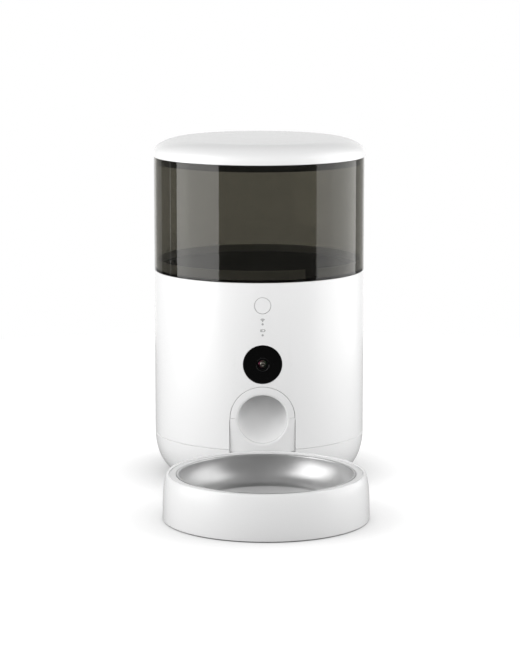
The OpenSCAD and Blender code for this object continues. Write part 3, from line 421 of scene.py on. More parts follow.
def dress_cad():
    """Gives every CAD piece its finish by its slot, and smooth shading."""
    group = fine_shading()
    slots = {part["node"]: part["material_slot"] for part in frame["record"]["subparts"]}
    for name, piece in frame["nodes"].items():
        piece.data.materials.clear()
        piece.data.materials.append(FINISH[slots[name]])
        shading = piece.modifiers.new("shading", "NODES")
        shading.node_group = group


# ---------------------------------------------------------------- mesh helpers

TURNED_SEGMENTS = 256


def make_piece(name, verts, faces, body, slot, material=None, sharp=30, replaces=()):
    """Makes a mesh piece that rides a body, in its slot's finish or in a material of its own.
    It is shaded smooth but for edges of more than sharp degrees."""
    mesh = bpy.data.meshes.new(name)
    mesh.from_pydata([tuple(v) for v in verts], [], faces)
    work = bmesh.new()
    work.from_mesh(mesh)
    bmesh.ops.remove_doubles(work, verts=work.verts, dist=0.0001 * MM)
    bmesh.ops.dissolve_degenerate(work, edges=work.edges, dist=0.00001 * MM)
    bmesh.ops.recalc_face_normals(work, faces=work.faces)
    work.to_mesh(mesh)
    work.free()
    mesh.shade_smooth()
    mesh.set_sharp_from_angle(angle=math.radians(sharp))
    piece = bpy.data.objects.new(name, mesh)
    scene.collection.objects.link(piece)
    mesh.materials.append(material or FINISH[slot])
    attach(piece, body)
    if replaces:
        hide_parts(*replaces)
    return piece


def grid_faces(columns, rows, closed=True):
    """Quads over a grid of points stored column by column. Each column is a closed outline."""
    faces = []
    for i in range(columns if closed else columns - 1):
        a = i * rows
        b = ((i + 1) % columns) * rows
        for j in range(rows):
            k = (j + 1) % rows
            faces.append((a + j, b + j, b + k, a + k))
    return faces


def turned(flat, angle):
    """A flat vector turned by that angle."""
    return Vector((flat.x * math.cos(angle) - flat.y * math.sin(angle),
                   flat.x * math.sin(angle) + flat.y * math.cos(angle)))


def fillet(corners, steps):
    """A closed outline from (r, z, rounding) corners, each rounded by an arc."""
    outline = []
    count = len(corners)
    for i in range(count):
        here = Vector(corners[i][:2])
        before = Vector(corners[i - 1][:2]) - here
        after = Vector(corners[(i + 1) % count][:2]) - here
        rounding = corners[i][2]
        if not rounding:
            outline.append(here)
            continue
        half = before.angle(after) / 2
        room = 0.49 * min(before.length, after.length)  # no arc takes up more than half a side
        reach = min(rounding / math.tan(half), room)
        radius = reach * math.tan(half)
        inwards = (before.normalized() + after.normalized()).normalized()
        centre = here + inwards * radius / math.sin(half)
        first = here + before.normalized() * reach - centre
        last = here + after.normalized() * reach - centre
        sweep = first.angle_signed(last)
        outline += [centre + turned(first, -sweep * step / steps) for step in range(steps + 1)]
    return outline


def hold_edges(outline):
    """Adds points near the ends of long straight sides, which then shade flat up to their fillets."""
    near = 0.5 * MM
    held = []
    for i, point in enumerate(outline):
        here, ahead = Vector(point), Vector(outline[(i + 1) % len(outline)])
        held.append(here)
        if (ahead - here).length > 4 * near:
            step = (ahead - here).normalized() * near
            held += [here + step, ahead - step]
    return held


def swept(outline, axis_y, turn):
    """The points of an outline of radii and heights, turned by that angle round an upright axis."""
    return [(r * math.cos(turn), axis_y + r * math.sin(turn), z) for r, z in outline]


def turned_piece(name, outline, axis_y, body, slot, replaces):
    """A closed outline turned once round an upright axis, with the finish of its slot."""
    outline = hold_edges(outline)
    verts = []
    for i in range(TURNED_SEGMENTS):
        verts += swept(outline, axis_y, 2 * math.pi * i / TURNED_SEGMENTS)
    faces = grid_faces(TURNED_SEGMENTS, len(outline))
    return make_piece(name, verts, faces, body, slot, replaces=replaces)


def front(x, z, radius):
    """The point of an upright cylinder of that radius, seen from the front at x and z."""
    return Vector((x, BODY_Y - math.sqrt(max(radius * radius - x * x, 0)), z))


dress_cad()


# ---------------------------------------------------------------- lid

def lid_outline():
    """Bottom edge, side, wide rounded shoulder and low crown of the lid, then its inside face."""
    shoulder_w, shoulder_h, crown, wall = 33 * MM, 14.3 * MM, 3.1 * MM, 2.4 * MM
    rounding = 0.4 * MM
    crown_r = LID_R - shoulder_w
    side_z = LID_TOP - crown - shoulder_h
    bottom = [(LID_R - wall, LID_Z), (LID_R - rounding, LID_Z),
              (LID_R - rounding / 4, LID_Z + rounding / 4), (LID_R, LID_Z + rounding)]
    shoulder_steps, crown_steps = 32, 16

    def dome(depth):
        """Shoulder and crown, depth below the outer face."""
        points = []
        for i in range(shoulder_steps + 1):
            turn = math.radians(90 * i / shoulder_steps)
            points.append((crown_r + (shoulder_w - depth) * math.cos(turn),
                           side_z + (shoulder_h - depth) * math.sin(turn)))
        for i in range(1, crown_steps + 1):
            k = 1 - i / crown_steps
            points.append((crown_r * k, side_z + shoulder_h - depth + crown * (1 - k * k)))
        return points

    return bottom + dome(0) + dome(wall)[::-1]


turned_piece("lid_shell", lid_outline(), BODY_Y, "lid", "white_plastic", ["lid"])


# ---------------------------------------------------------------- tank and funnel

def tank_outline():
    """Upright wall that stands on the body's edge, and the spigot that reaches down inside it."""
    lo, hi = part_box("tank")
    spigot_r = BODY_R - WALL - 0.4 * MM
    wall = 2.6 * MM
    inside = BODY_R - wall
    spigot_in = spigot_r - wall
    return fillet([
        (spigot_in, lo.z, 0.5 * MM), (spigot_r, lo.z, 0.8 * MM), (spigot_r, BODY_TOP, 0.2 * MM),
        (BODY_R, BODY_TOP, 0.5 * MM), (BODY_R, hi.z, 0.5 * MM), (inside, hi.z, 0.5 * MM),
        (inside, LEDGE_Z, 0.4 * MM), (spigot_in, LEDGE_Z, 0.5 * MM)], steps=4)


def funnel_outline():
    """Cone from the throat up to a flat rim that lies on the tank's ledge."""
    lo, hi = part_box("funnel")
    rim_r = (hi.x - lo.x) / 2
    cone_r = rim_r - 8 * MM
    throat_r = 33 * MM
    wall = 2 * MM
    cone_z = lo.z + 7 * MM
    slope = (hi.z - cone_z) / (cone_r - throat_r)
    drop = wall * math.sqrt(1 + slope * slope)
    return fillet([
        (throat_r, lo.z, 0.6 * MM), (throat_r + wall, lo.z, 0.6 * MM),
        (throat_r + wall, cone_z + slope * wall - drop, 1.5 * MM),
        (throat_r + (LEDGE_Z + drop - cone_z) / slope, LEDGE_Z, 1.5 * MM),
        (rim_r, LEDGE_Z, 0.3 * MM), (rim_r, hi.z, 0.5 * MM), (cone_r, hi.z, 1.2 * MM),
        (throat_r, cone_z, 3 * MM)], steps=5)


def funnel_ring():
    """Upright split ring between the funnel's rim and the tank's wall."""
    lo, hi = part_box("funnel_ring")
    outer_r = (hi.x - lo.x) / 2
    inner_r = outer_r - 1.4 * MM
    gap = 14 * MM / outer_r  # as an angle
    gap_middle = math.radians(28 - 90)  # 28 degrees to the right of the front
    outline = hold_edges(fillet([(inner_r, lo.z, 0.3 * MM), (outer_r, lo.z, 0.3 * MM),
                                 (outer_r, hi.z, 0.4 * MM), (inner_r, hi.z, 0.4 * MM)], steps=3))
    verts = []
    for i in range(TURNED_SEGMENTS + 1):
        turn = gap_middle + gap / 2 + (2 * math.pi - gap) * i / TURNED_SEGMENTS
        verts += swept(outline, BODY_Y, turn)
    count = len(outline)
    faces = grid_faces(TURNED_SEGMENTS + 1, count, closed=False)
    faces += [tuple(range(count)), tuple(range(len(verts) - count, len(verts)))]
    make_piece("funnel_collar", verts, faces, "tank", "grey_plastic", sharp=35, replaces=["funnel_ring"])


turned_piece("tank_wall", tank_outline(), BODY_Y, "tank", "smoked_plastic", ["tank"])
turned_piece("funnel_cone", funnel_outline(), BODY_Y, "tank", "black_plastic", ["funnel"])
funnel_ring()


# ---------------------------------------------------------------- bowl

def bowl_outline():
    """Flat floor, quarter-ellipse side and rolled flat rim, first the upper face, then the lower one."""
    bend = 1.3 * MM
    inside = BOWL_R - 2.4 * MM
    side_top = BOWL_TOP - bend
    floor_z = BOWL_BOTTOM + STEEL_T + BOWL_FLOOR_RISE
    side_steps, bend_steps = 40, 12

    def side(depth):
        """From the floor up to the bend, depth behind the upper face."""
        points = []
        for i in range(side_steps + 1):
            turn = math.radians(-90 + 90 * i / side_steps)
            points.append((BOWL_FLOOR_R + (inside - BOWL_FLOOR_R + depth) * math.cos(turn),
                           side_top + (side_top - floor_z + depth) * math.sin(turn)))
        return points

    def lip(depth):
        """Between the side and the flat rim, without their end points."""
        points = []
        for i in range(1, bend_steps):
            turn = math.radians(180 - 90 * i / bend_steps)
            points.append((inside + bend + (bend - depth) * math.cos(turn),
                           side_top + (bend - depth) * math.sin(turn)))
        return points

    rim_in, rim_low = inside + bend, BOWL_TOP - STEEL_T
    rim = fillet([(rim_in, BOWL_TOP, 0), (BOWL_R, BOWL_TOP, 0.4 * MM),
                  (BOWL_R, rim_low, 0.4 * MM), (rim_in, rim_low, 0)], steps=4)
    upper = [(0, floor_z)] + side(0) + lip(0)
    lower = [(0, floor_z - STEEL_T)] + side(STEEL_T) + lip(STEEL_T)
    return upper + rim + lower[::-1]


turned_piece("bowl_shell", bowl_outline(), BOWL_Y, "bowl", "bowl_steel", ["bowl"])


# ---------------------------------------------------------------- outlet cover with its rolled mouth

ALMOST_ZERO = 1e-9


def cover_face(x, z, depth):
    """The point depth behind the cover's outer face, which is upright but draws in below the fold."""
    drop = max(0.0, FOLD_Z - z) / (FOLD_Z - COVER_Z)
    return front(x, z, BODY_R - depth - COVER_TUCK * drop)


def cover_edge(turn):
    """The cover's outline round the mouth: an arch on straight sides with a straight foot."""
    c, s = math.cos(turn), math.sin(turn)
    up = FOLD_Z - MOUTH_Z
    over = up * s + math.sqrt(ARCH_R * ARCH_R - up * up * c * c)
    if over * s > up:
        return over * c, MOUTH_Z + over * s
    side = (ARCH_R + COVER_WIDENS) / max(abs(c), ALMOST_ZERO)
    foot = (MOUTH_Z - COVER_Z) / -s if s < 0 else side
    length = min(side, foot)
    return length * c, MOUTH_Z + length * s


def fold_groove(x, z):
    """Depth of the thin line that marks the fold beside the mouth."""
    if abs(x) < MOUTH_R + LIP_R:
        return 0.0
    return FOLD_GROOVE * max(0.0, 1 - abs(z - FOLD_Z) / FOLD_GROOVE_HALF)


def ray_turns():
    """Angles of the cover's rays: even ones, fine ones across the fold, and those of its lower corners."""
    even_count, fine_count = 288, 25
    fine_start, fine_step = 0.8, 0.1  # in degrees above the mouth's middle
    dip = math.atan2(MOUTH_Z - COVER_Z, ARCH_R)
    corners = [math.pi + dip, 2 * math.pi - dip]
    even = [2 * math.pi * i / even_count for i in range(even_count)]
    right = [math.radians(fine_start + fine_step * i) for i in range(fine_count)]
    left = [math.pi - turn for turn in right]
    return sorted({round(turn, 9) for turn in even + right + left + corners})


def cover_ray(turn):
    """One section through the cover: throat and roll of the lip, face, rounded edge and back."""
    c, s = math.cos(turn), math.sin(turn)
    edge_x, edge_z = cover_edge(turn)
    edge_reach = math.hypot(edge_x, edge_z - MOUTH_Z)
    lip_reach = MOUTH_R + LIP_R
    throat_deep = WALL + 1.6 * MM
    throat_steps, lip_steps, face_steps, edge_steps = 3, 8, 11, 3

    def at(reach):
        """The x and z of the ray at that distance from the mouth's centre."""
        return reach * c, MOUTH_Z + reach * s

    ray = []
    for i in range(throat_steps + 1):
        ray.append(cover_face(*at(MOUTH_R), throat_deep - i * (throat_deep - LIP_R) / throat_steps))
    for i in range(1, lip_steps + 1):
        roll = math.radians(90 * i / lip_steps)
        ray.append(cover_face(*at(MOUTH_R + LIP_R * (1 - math.cos(roll))), LIP_R * (1 - math.sin(roll))))
    for i in range(1, face_steps + 1):
        x, z = at(lip_reach + (edge_reach - COVER_EDGE - lip_reach) * i / face_steps)
        ray.append(cover_face(x, z, fold_groove(x, z)))
    for i in range(1, edge_steps + 1):
        roll = math.radians(90 * i / edge_steps)
        reach = edge_reach - COVER_EDGE * (1 - math.sin(roll))
        ray.append(cover_face(*at(reach), COVER_EDGE * (1 - math.cos(roll))))
    ray.append(cover_face(*at(edge_reach), WALL))
    ray.append(cover_face(*at(lip_reach), WALL))
    ray.append(cover_face(*at(lip_reach), throat_deep))
    return ray


def mouth_cover():
    """The cover with its rolled lip as one skin, laid out in rays from the mouth's centre."""
    rays = [cover_ray(turn) for turn in ray_turns()]
    verts = [point for ray in rays for point in ray]
    make_piece("outlet_cover", verts, grid_faces(len(rays), len(rays[0])), "feeder", "white_plastic",
               sharp=35, replaces=["chute_cover"])


mouth_cover()


# ---------------------------------------------------------------- pieces laid out in rays on the front

def ring_faces(a, b, a_point, b_point, segments):
    """Faces between the rings that start at the vertices a and b, either of which may be one point."""
    faces = []
    for i in range(segments):
        j = (i + 1) % segments
        if a_point:
            faces.append((a, b + j, b + i))
        elif b_point:
            faces.append((a + i, a + j, b))
        else:
            faces.append((a + i, a + j, b + j, b + i))
    return faces


def front_piece(name, centre_z, rows, body, slot, material=None, segments=128, sharp=30, replaces=()):
    """Joins rings round the line through centre_z. A ring is (radius, depth, follows the body's face?).
    Depth is measured behind the face, or from the body's axis where the ring doesn't follow it."""
    verts, starts = [], []
    points = [radius <= 0 for radius, depth, follows in rows]
    for radius, depth, follows in rows:
        starts.append(len(verts))
        for i in range(segments if radius > 0 else 1):
            turn = 2 * math.pi * i / segments
            x, z = radius * math.cos(turn), centre_z + radius * math.sin(turn)
            verts.append(front(x, z, BODY_R - depth) if follows else Vector((x, BODY_Y - depth, z)))
    faces = []
    for k in range(len(rows) - 1):
        faces += ring_faces(starts[k], starts[k + 1], points[k], points[k + 1], segments)
    if not points[0] and not points[-1]:
        faces += ring_faces(starts[-1], starts[0], False, False, segments)
    return make_piece(name, verts, faces, body, slot, material, sharp, replaces)


def face_rings(inner, outer, depth, count):
    """Rings of a smooth face that follows the body, from the inner radius to the outer one."""
    return [(inner + (outer - inner) * i / count, depth, True) for i in range(count + 1)]


def rolled(radius, roll, depth, inward=False):
    """Rings of a rolled edge that ends at radius; inward rolls towards the middle instead."""
    rings = []
    steps = 5
    for i in range(1, steps + 1):
        turn = math.radians(90 * i / steps)
        reach = roll * (1 - math.sin(turn))
        end = radius + reach if inward else radius - reach
        rings.append((end, depth + roll * (1 - math.cos(turn)), True))
    return rings


def dome_rings(sphere_r, start, reach, apex, count):
    """Rings of a sphere's cap from radius start to reach, its middle apex in front of the body's axis."""
    rings = []
    for i in range(count + 1):
        r = start + (reach - start) * i / count
        rings.append((r, apex - sphere_r + math.sqrt(sphere_r * sphere_r - r * r), False))
    return rings


def camera_window():
    """Gloss disc with a polished edge round the lens opening."""
    lens_r, lens_deep, lens_roll = 5.8 * MM, 3.4 * MM, 0.5 * MM
    sunk, edge_roll = 0.3 * MM, 0.45 * MM
    lip_front, lip_back = WALL + 0.1 * MM, WALL + 1.8 * MM
    rows = [(lens_r, lens_deep, True)]
    rows += rolled(lens_r, lens_roll, sunk, inward=True)[::-1]
    rows += face_rings(lens_r + lens_roll, WINDOW_R - edge_roll, sunk, 12)
    rows += rolled(WINDOW_R, edge_roll, sunk)
    rows += [(WINDOW_R, lip_front, True), (WINDOW_R + WINDOW_LIP, lip_front, True),
             (WINDOW_R + WINDOW_LIP, lip_back, True), (lens_r + lens_roll, lip_back, True)]
    front_piece("window_disc", WINDOW_Z, rows, "feeder", "window_black", segments=160,
                replaces=["camera_window"])


def lens_coating():
    """Dark glass whose coating reflects rose at one side and green at the other."""
    material, tree, shader = new_material("lens_coating")
    place = tree.nodes.new("ShaderNodeTexCoord")
    split = tree.nodes.new("ShaderNodeSeparateXYZ")
    across = tree.nodes.new("ShaderNodeMapRange")
    ramp = tree.nodes.new("ShaderNodeValToRGB")
    half = 3 * MM
    across.inputs["From Min"].default_value = -half
    across.inputs["From Max"].default_value = half
    ramp.color_ramp.elements[0].color = (1.0, 0.22, 0.42, 1)
    ramp.color_ramp.elements[1].color = (0.30, 0.62, 0.30, 1)
    tree.links.new(place.outputs["Object"], split.inputs["Vector"])
    tree.links.new(split.outputs["X"], across.inputs["Value"])
    tree.links.new(across.outputs["Result"], ramp.inputs["Fac"])
    connect(tree, shader, specular_tint=ramp.outputs["Color"],
            base_color=two_tone(tree, noise(tree, 300), (0.002, 0.002, 0.003), (0.004, 0.003, 0.005)),
            roughness=spread(tree, noise(tree, 600), 0.06, 0.09))
    shader.inputs["IOR"].default_value = 2.6
    return material


def inner_element():
    """Bright coating of the small element in the middle, which throws back the studio's lamps."""
    material, tree, shader = new_material("lens_inner")
    connect(tree, shader, base_color=two_tone(tree, noise(tree, 300), grey(0.003), (0.005, 0.005, 0.004)),
            roughness=spread(tree, noise(tree, 600), 0.07, 0.10))
    shader.inputs["Specular Tint"].default_value = (1.0, 0.93, 0.82, 1)
    shader.inputs["IOR"].default_value = 2.8
    return material


def lens():
    """Coated front ring of the lens and the small element that stands proud in its middle."""
    apex = BODY_R - 1.4 * MM
    outer_r, inner_r = 5.6 * MM, 3.0 * MM
    ring_sphere, middle_sphere = 7.5 * MM, 3.9 * MM
    ring_back = apex - 4 * MM
    ring = dome_rings(ring_sphere, inner_r, outer_r, apex, 12)
    ring += [(outer_r, ring_back, False), (inner_r, ring_back, False)]
    front_piece("lens_front", WINDOW_Z, ring, "feeder", "lens_glass", lens_coating(), segments=96, sharp=40,
                replaces=["camera_lens"])
    ring_edge = apex - ring_sphere + math.sqrt(ring_sphere ** 2 - inner_r ** 2)
    middle_r = inner_r - 0.05 * MM
    middle_back = apex - 3.6 * MM
    middle = dome_rings(middle_sphere, 0.0, middle_r, ring_edge + 0.9 * MM, 10)
    middle += [(middle_r, middle_back, False), (0.0, middle_back, False)]
    front_piece("lens_middle", WINDOW_Z, middle, "feeder", "lens_glass", inner_element(), segments=96,
                sharp=40)


def feed_button():
    """Slightly dished cap with a rolled edge, the flange that holds it in and its stem."""
    sunk, dish, dish_steps = 0.2 * MM, 0.25 * MM, 8
    dish_r = BUTTON_R - 0.6 * MM
    stem_r = 2.5 * MM
    stem_end = BODY_Y - button_hi.y
    flange_front = BODY_R - WALL - 0.8 * MM
    flange_back = BODY_R - WALL - 2.2 * MM
    rows = []
    for i in range(dish_steps + 1):
        share = i / dish_steps
        rows.append((dish_r * share, sunk + dish * (1 - share ** 2), True))
    rows += rolled(BUTTON_R, 0.5 * MM, sunk)
    rows += [(BUTTON_R, WALL + 0.9 * MM, True), (BUTTON_R + 0.01 * MM, flange_front, False),
             (BUTTON_FLANGE_R, flange_front, False), (BUTTON_FLANGE_R, flange_back, False),
             (stem_r, flange_back, False), (stem_r, stem_end, False), (0.0, stem_end, False)]
    front_piece("button_cap", BUTTON_Z, rows, "feed_button", "white_plastic", sharp=35,
                replaces=["feed_button"])


camera_window()
lens()
feed_button()


# ---------------------------------------------------------------- printed signs by the two lamps

def stroke(points, width):
    """A flat printed line along points on the body's front, as vertices and faces."""
    verts, faces = [], []
    ink_r = BODY_R + 0.03 * MM
    for i, (x, z) in enumerate(points):
        before, after = points[max(i - 1, 0)], points[min(i + 1, len(points) - 1)]
        dx, dz = after[0] - before[0], after[1] - before[1]
        half = width / 2 / math.hypot(dx, dz)
        verts.append(front(x - dz * half, z + dx * half, ink_r))
        verts.append(front(x + dz * half, z - dx * half, ink_r))
    for i in range(len(points) - 1):
        faces.append((2 * i, 2 * i + 1, 2 * i + 3, 2 * i + 2))
    return verts, faces


def arc(centre_z, radius, start, end):
    """Points of an arc round the middle line, from start to end in degrees."""
    steps = 16
    turns = [math.radians(start + (end - start) * i / steps) for i in range(steps + 1)]
    return [(radius * math.cos(turn), centre_z + radius * math.sin(turn)) for turn in turns]


def print_sign(name, strokes, width):
    """A printed sign made of strokes."""
    verts, faces = [], []
    for points in strokes:
        more_verts, more_faces = stroke(points, width)
        offset = len(verts)
        verts += more_verts
        faces += [tuple(k + offset for k in face) for face in more_faces]
    make_piece(name, verts, faces, "feeder", "grey_plastic", PRINT_INK, sharp=60)


def upright(x, centre_z, half):
    """An upright stroke of half the given length to each side of centre_z."""
    return [(x, centre_z - half), (x, centre_z + half)]


def signal_sign():
    """Three arcs over a dot."""
    foot_z = LAMP_Z[0] + 2.6 * MM
    arcs = [arc(foot_z, radius * MM, 40, 140) for radius in (0.9, 1.7, 2.5)]
    dot = arc(foot_z + 0.1 * MM, 0.2 * MM, 0, 360)
    print_sign("sign_signal", arcs + [dot], 0.45 * MM)


def cell_sign():
    """A small battery lying on its side, with its end cap and two bars of charge."""
    middle_z = LAMP_Z[1] + 4.3 * MM
    half_w, half_h = 1.9 * MM, 0.95 * MM
    sides = [[(-half_w, z), (half_w, z)] for z in (middle_z + half_h, middle_z - half_h)]
    ends = [upright(x, middle_z, half_h) for x in (-half_w, half_w)]
    cap = upright(half_w + 0.5 * MM, middle_z, 0.4 * MM)
    bars = [upright(x * MM, middle_z, 0.5 * MM) for x in (-1.2, -0.5)]
    print_sign("sign_cell", sides + ends + [cap] + bars, 0.4 * MM)


signal_sign()
cell_sign()


# ---------------------------------------------------------------- chute

def discharge_edge(turn, grown):
    """A point on the rounded rectangle of the discharge opening, from its middle."""
    half_w, half_l = 20 * MM, 10.5 * MM
    power = 2 / 7
    c, s = math.cos(turn), math.sin(turn)
    return (math.copysign(abs(c) ** power, c) * (half_w + grown),
            math.copysign(abs(s) ** power, s) * (half_l + grown))


def chute():
    """Smooth duct from the discharge opening to the mouth, with its wall and its top flange."""
    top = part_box("chute")[1].z
    wall, flange, flange_t, flange_squash = 2.2 * MM, 6 * MM, 2 * MM, 0.75
    opening_y = BODY_Y - 34.5 * MM
    mouth_y = BODY_Y - (BODY_R - WALL - 3 * MM)
    straightness, turn_in = 0.75, 0.12  # how the curve's ends mix the straight line and their own way
    steps, columns = 24, 144

    def along(turn, grown, t):
        """A point on the duct's wall, a smooth curve from t = 0 at the mouth to t = 1 at the opening."""
        reach = MOUTH_R + grown
        start = Vector((reach * math.cos(turn), mouth_y, MOUTH_Z + reach * math.sin(turn)))
        x, y = discharge_edge(-turn, grown)
        end = Vector((x, opening_y + y, top))
        straight = straightness * (end - start)
        bend = turn_in * (end - start).length
        out = straight + Vector((0, bend, 0))
        up = straight + Vector((0, 0, bend))
        return ((2 * t ** 3 - 3 * t ** 2 + 1) * start + (t ** 3 - 2 * t ** 2 + t) * out
                + (3 * t ** 2 - 2 * t ** 3) * end + (t ** 3 - t ** 2) * up)

    verts = []
    for i in range(columns):
        turn = 2 * math.pi * i / columns
        x, y = discharge_edge(-turn, flange)
        flange_y = opening_y + y * flange_squash
        verts += [along(turn, 0, k / steps) for k in range(steps + 1)]
        verts += [Vector((x, flange_y, top)), Vector((x, flange_y, top - flange_t))]
        verts += [along(turn, wall, k / steps) for k in range(steps - 1, -1, -1)]
    # the duct wears the lighter copy of the white plastic, painted light for its shaded inside
    make_piece("chute_duct", verts, grid_faces(columns, len(verts) // columns), "feeder", "white_plastic",
               CHUTE_PAINTED_LIGHT, sharp=40, replaces=["chute"])


chute()


# ---------------------------------------------------------------- floor, light and camera

CAMERA_AT = (-0.07444, -2.21610, 0.51888)
CAMERA_TURN = (80.632, 0.0, -1.868)
CAMERA_LENS = 132.77

# levels of the light from the left, right, front, back, below and above
SKY_ON_MATTE = (0.52, 1.24, 1.27, 1.00, 0.0, 0.0)
SKY_IN_GLOSS = (0.25, 0.25, 0.36, 0.30, 0.0, 0.35)

# what reflections show in front below the horizon, which is soft between two heights
HORIZON_IN_GLOSS = (-0.05, 0.12)
FRONT_SIDE = (0.0, -0.2)
LOW_IN_GLOSS = 0.01

# what reflections show behind the feeder: a pale backdrop that fades out upwards
BACKDROP_IN_GLOSS = 0.90
BACKDROP_SPAN = (0.86, 0.95)
BACKDROP_FADE = (0.30, 0.55)

# dark screen with a bright slit in it, which reflections show, in degrees to the right of the front
SCREEN_TURN = (-136, -97)
SCREEN_LEVEL = 0.02
SLIT_TURN = (-116.2, -114.6)
SLIT_LEVEL = 0.8

# the floor's colour and own glow as the camera sees it, and as its light falls on the object
FLOOR_R = 0.92
FLOOR_ALBEDO = 0.50
FLOOR_LIFT = 0.66
FLOOR_BOUNCE = 0.3
FLOOR_GLOW = 0.47
FLOOR_IN_GLOSS = 0.05
FLOOR_CONTACT = 0.06  # reach of the painted shadow that the camera sees at the object's foot
FLOOR_SHADE = 0.14  # reach of the painted shadow that dims the floor's glow round the object
SHADE_POWER = 3.0

# upright soft boxes round the body's axis
BOX_DISTANCE = 1.0
BOX_HEIGHT = 1.7
BOX_FOOT = -0.1
BOX_ORIGIN = 1.85  # azimuth of the camera from the feeder's front, in degrees
LEFT_SPAN = (-97.5, -42.5)
LEFT_LEVEL = 2.4
RIGHT_SPAN = (62.5, 127.5)
RIGHT_LEVEL = 1.5


def between(tree, turn, limits):
    """1 where turn, in radians, is between the two limits in degrees."""
    above = maths(tree, "GREATER_THAN", turn, math.radians(limits[0]))
    return maths(tree, "MULTIPLY", above, maths(tree, "LESS_THAN", turn, math.radians(limits[1])))


def ray_kinds(tree):
    """The light path's outputs, and 1 where a ray comes from the camera or through glass."""
    path = tree.nodes.new("ShaderNodeLightPath").outputs
    return path, maths(tree, "MAXIMUM", path["Is Camera Ray"], path["Is Transmission Ray"])


def white_floor():
    """Round floor that the camera sees as white but for the object's soft shadow, partly real and partly
    painted in by ambient occlusion.
    """
    verts = [(0, 0, 0)]
    faces = []
    segments = 96
    for i in range(segments):
        turn = 2 * math.pi * i / segments
        verts.append((FLOOR_R * math.cos(turn), FLOOR_R * math.sin(turn), 0))
        faces.append((0, 1 + i, 1 + (i + 1) % segments))
    mesh = bpy.data.meshes.new("floor")
    mesh.from_pydata(verts, [], faces)
    floor = bpy.data.objects.new("floor", mesh)
    scene.collection.objects.link(floor)
    material, tree, shader = new_material("floor_white")
    path, seen = ray_kinds(tree)
    # painted shadow: ambient occlusion dims the floor's white lift at the object's foot and its glow round
    # it
    near = add(tree, "ShaderNodeAmbientOcclusion", distance=FLOOR_CONTACT).outputs["AO"]
    around = add(tree, "ShaderNodeAmbientOcclusion", distance=FLOOR_SHADE).outputs["AO"]
    bounced = choose(tree, path["Is Glossy Ray"], FLOOR_BOUNCE, FLOOR_IN_GLOSS)
    shaded = maths(tree, "MULTIPLY", maths(tree, "POWER", around, SHADE_POWER), FLOOR_GLOW)
    glow = choose(tree, path["Is Glossy Ray"], shaded, 0.0)
    lift = maths(tree, "MULTIPLY", near, FLOOR_LIFT)
    connect(tree, shader, base_color=choose(tree, seen, bounced, FLOOR_ALBEDO),
            emission_strength=choose(tree, seen, glow, lift))
    shader.inputs["Emission Color"].default_value = (1, 1, 1, 1)
    shader.inputs["Roughness"].default_value = 0.9
    shader.inputs["Specular IOR Level"].default_value = 0.0
    mesh.materials.append(material)


def sky(tree, axes, levels):
    """Light that changes softly between six levels, one for each side the ray may come from."""
    total = 0.0
    for axis, low, high in zip(axes, levels[::2], levels[1::2]):
        level = choose(tree, maths(tree, "GREATER_THAN", axis, 0.0), low, high)
        share = maths(tree, "MULTIPLY", axis, axis)
        total = maths(tree, "ADD", total, maths(tree, "MULTIPLY", level, share))
    return total


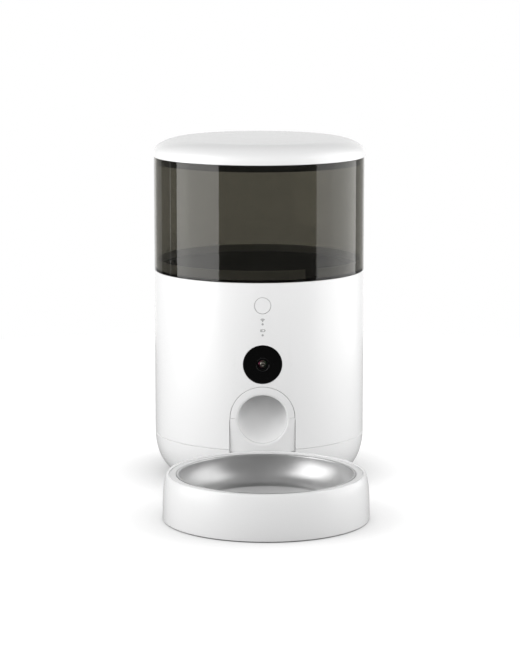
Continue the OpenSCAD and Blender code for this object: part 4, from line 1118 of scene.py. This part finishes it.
def soft_world():
    """Soft light on the object, a dimmer room for its reflections, and white for the camera."""
    world = bpy.data.worlds.new("studio")
    scene.world = world
    world.use_nodes = True
    tree = world.node_tree
    tree.nodes.clear()
    output = tree.nodes.new("ShaderNodeOutputWorld")
    shade = tree.nodes.new("ShaderNodeBackground")
    path, seen = ray_kinds(tree)
    place = tree.nodes.new("ShaderNodeTexCoord")
    split = tree.nodes.new("ShaderNodeSeparateXYZ")
    tree.links.new(place.outputs["Generated"], split.inputs["Vector"])
    axes = split.outputs["X"], split.outputs["Y"], split.outputs["Z"]
    across, away, up = axes
    behind = smooth_step(tree, away, *BACKDROP_SPAN)
    unfaded = maths(tree, "SUBTRACT", 1.0, smooth_step(tree, up, *BACKDROP_FADE))
    backdrop = maths(tree, "MULTIPLY", maths(tree, "MULTIPLY", behind, unfaded), BACKDROP_IN_GLOSS)
    below = maths(tree, "SUBTRACT", 1.0, smooth_step(tree, up, *HORIZON_IN_GLOSS))
    front_below = maths(tree, "MULTIPLY", smooth_step(tree, away, *FRONT_SIDE), below)
    turn = maths(tree, "ARCTAN2", across, maths(tree, "MULTIPLY", away, -1.0))
    room = choose(tree, front_below, sky(tree, axes, SKY_IN_GLOSS), LOW_IN_GLOSS)
    room = maths(tree, "MAXIMUM", room, backdrop)
    room = choose(tree, between(tree, turn, SCREEN_TURN), room, SCREEN_LEVEL)
    room = choose(tree, between(tree, turn, SLIT_TURN), room, SLIT_LEVEL)
    unseen = choose(tree, path["Is Glossy Ray"], sky(tree, axes, SKY_ON_MATTE), room)
    tree.links.new(choose(tree, seen, unseen, 1.0), shade.inputs["Strength"])
    shade.inputs["Color"].default_value = (1, 1, 1, 1)
    tree.links.new(shade.outputs["Background"], output.inputs["Surface"])


def softbox(name, start, end, radiance):
    """Upright soft light from azimuth start to end, in degrees to the right of the camera."""
    middle = math.radians((start + end) / 2 - BOX_ORIGIN)
    width = 2 * BOX_DISTANCE * math.tan(math.radians((end - start) / 2))
    lamp = bpy.data.lights.new(name, "AREA")
    lamp.shape = "RECTANGLE"
    lamp.size = width
    lamp.size_y = BOX_HEIGHT
    lamp.energy = radiance * math.pi * width * BOX_HEIGHT
    holder = bpy.data.objects.new(name, lamp)
    holder.location = (BOX_DISTANCE * math.sin(middle), BODY_Y - BOX_DISTANCE * math.cos(middle),
                       BOX_FOOT + BOX_HEIGHT / 2)
    holder.rotation_euler = (math.radians(90), 0, middle)
    holder.visible_camera = False
    scene.collection.objects.link(holder)


white_floor()
soft_world()
softbox("softbox_left", *LEFT_SPAN, LEFT_LEVEL)
softbox("softbox_right", *RIGHT_SPAN, RIGHT_LEVEL)

camera_data = bpy.data.cameras.new("camera")
camera_data.lens = CAMERA_LENS
camera_data.clip_start = 0.01
camera = bpy.data.objects.new("camera", camera_data)
camera.location = CAMERA_AT
camera.rotation_euler = [math.radians(value) for value in CAMERA_TURN]
scene.collection.objects.link(camera)
scene.camera = camera
scene.view_settings.view_transform = "Standard"
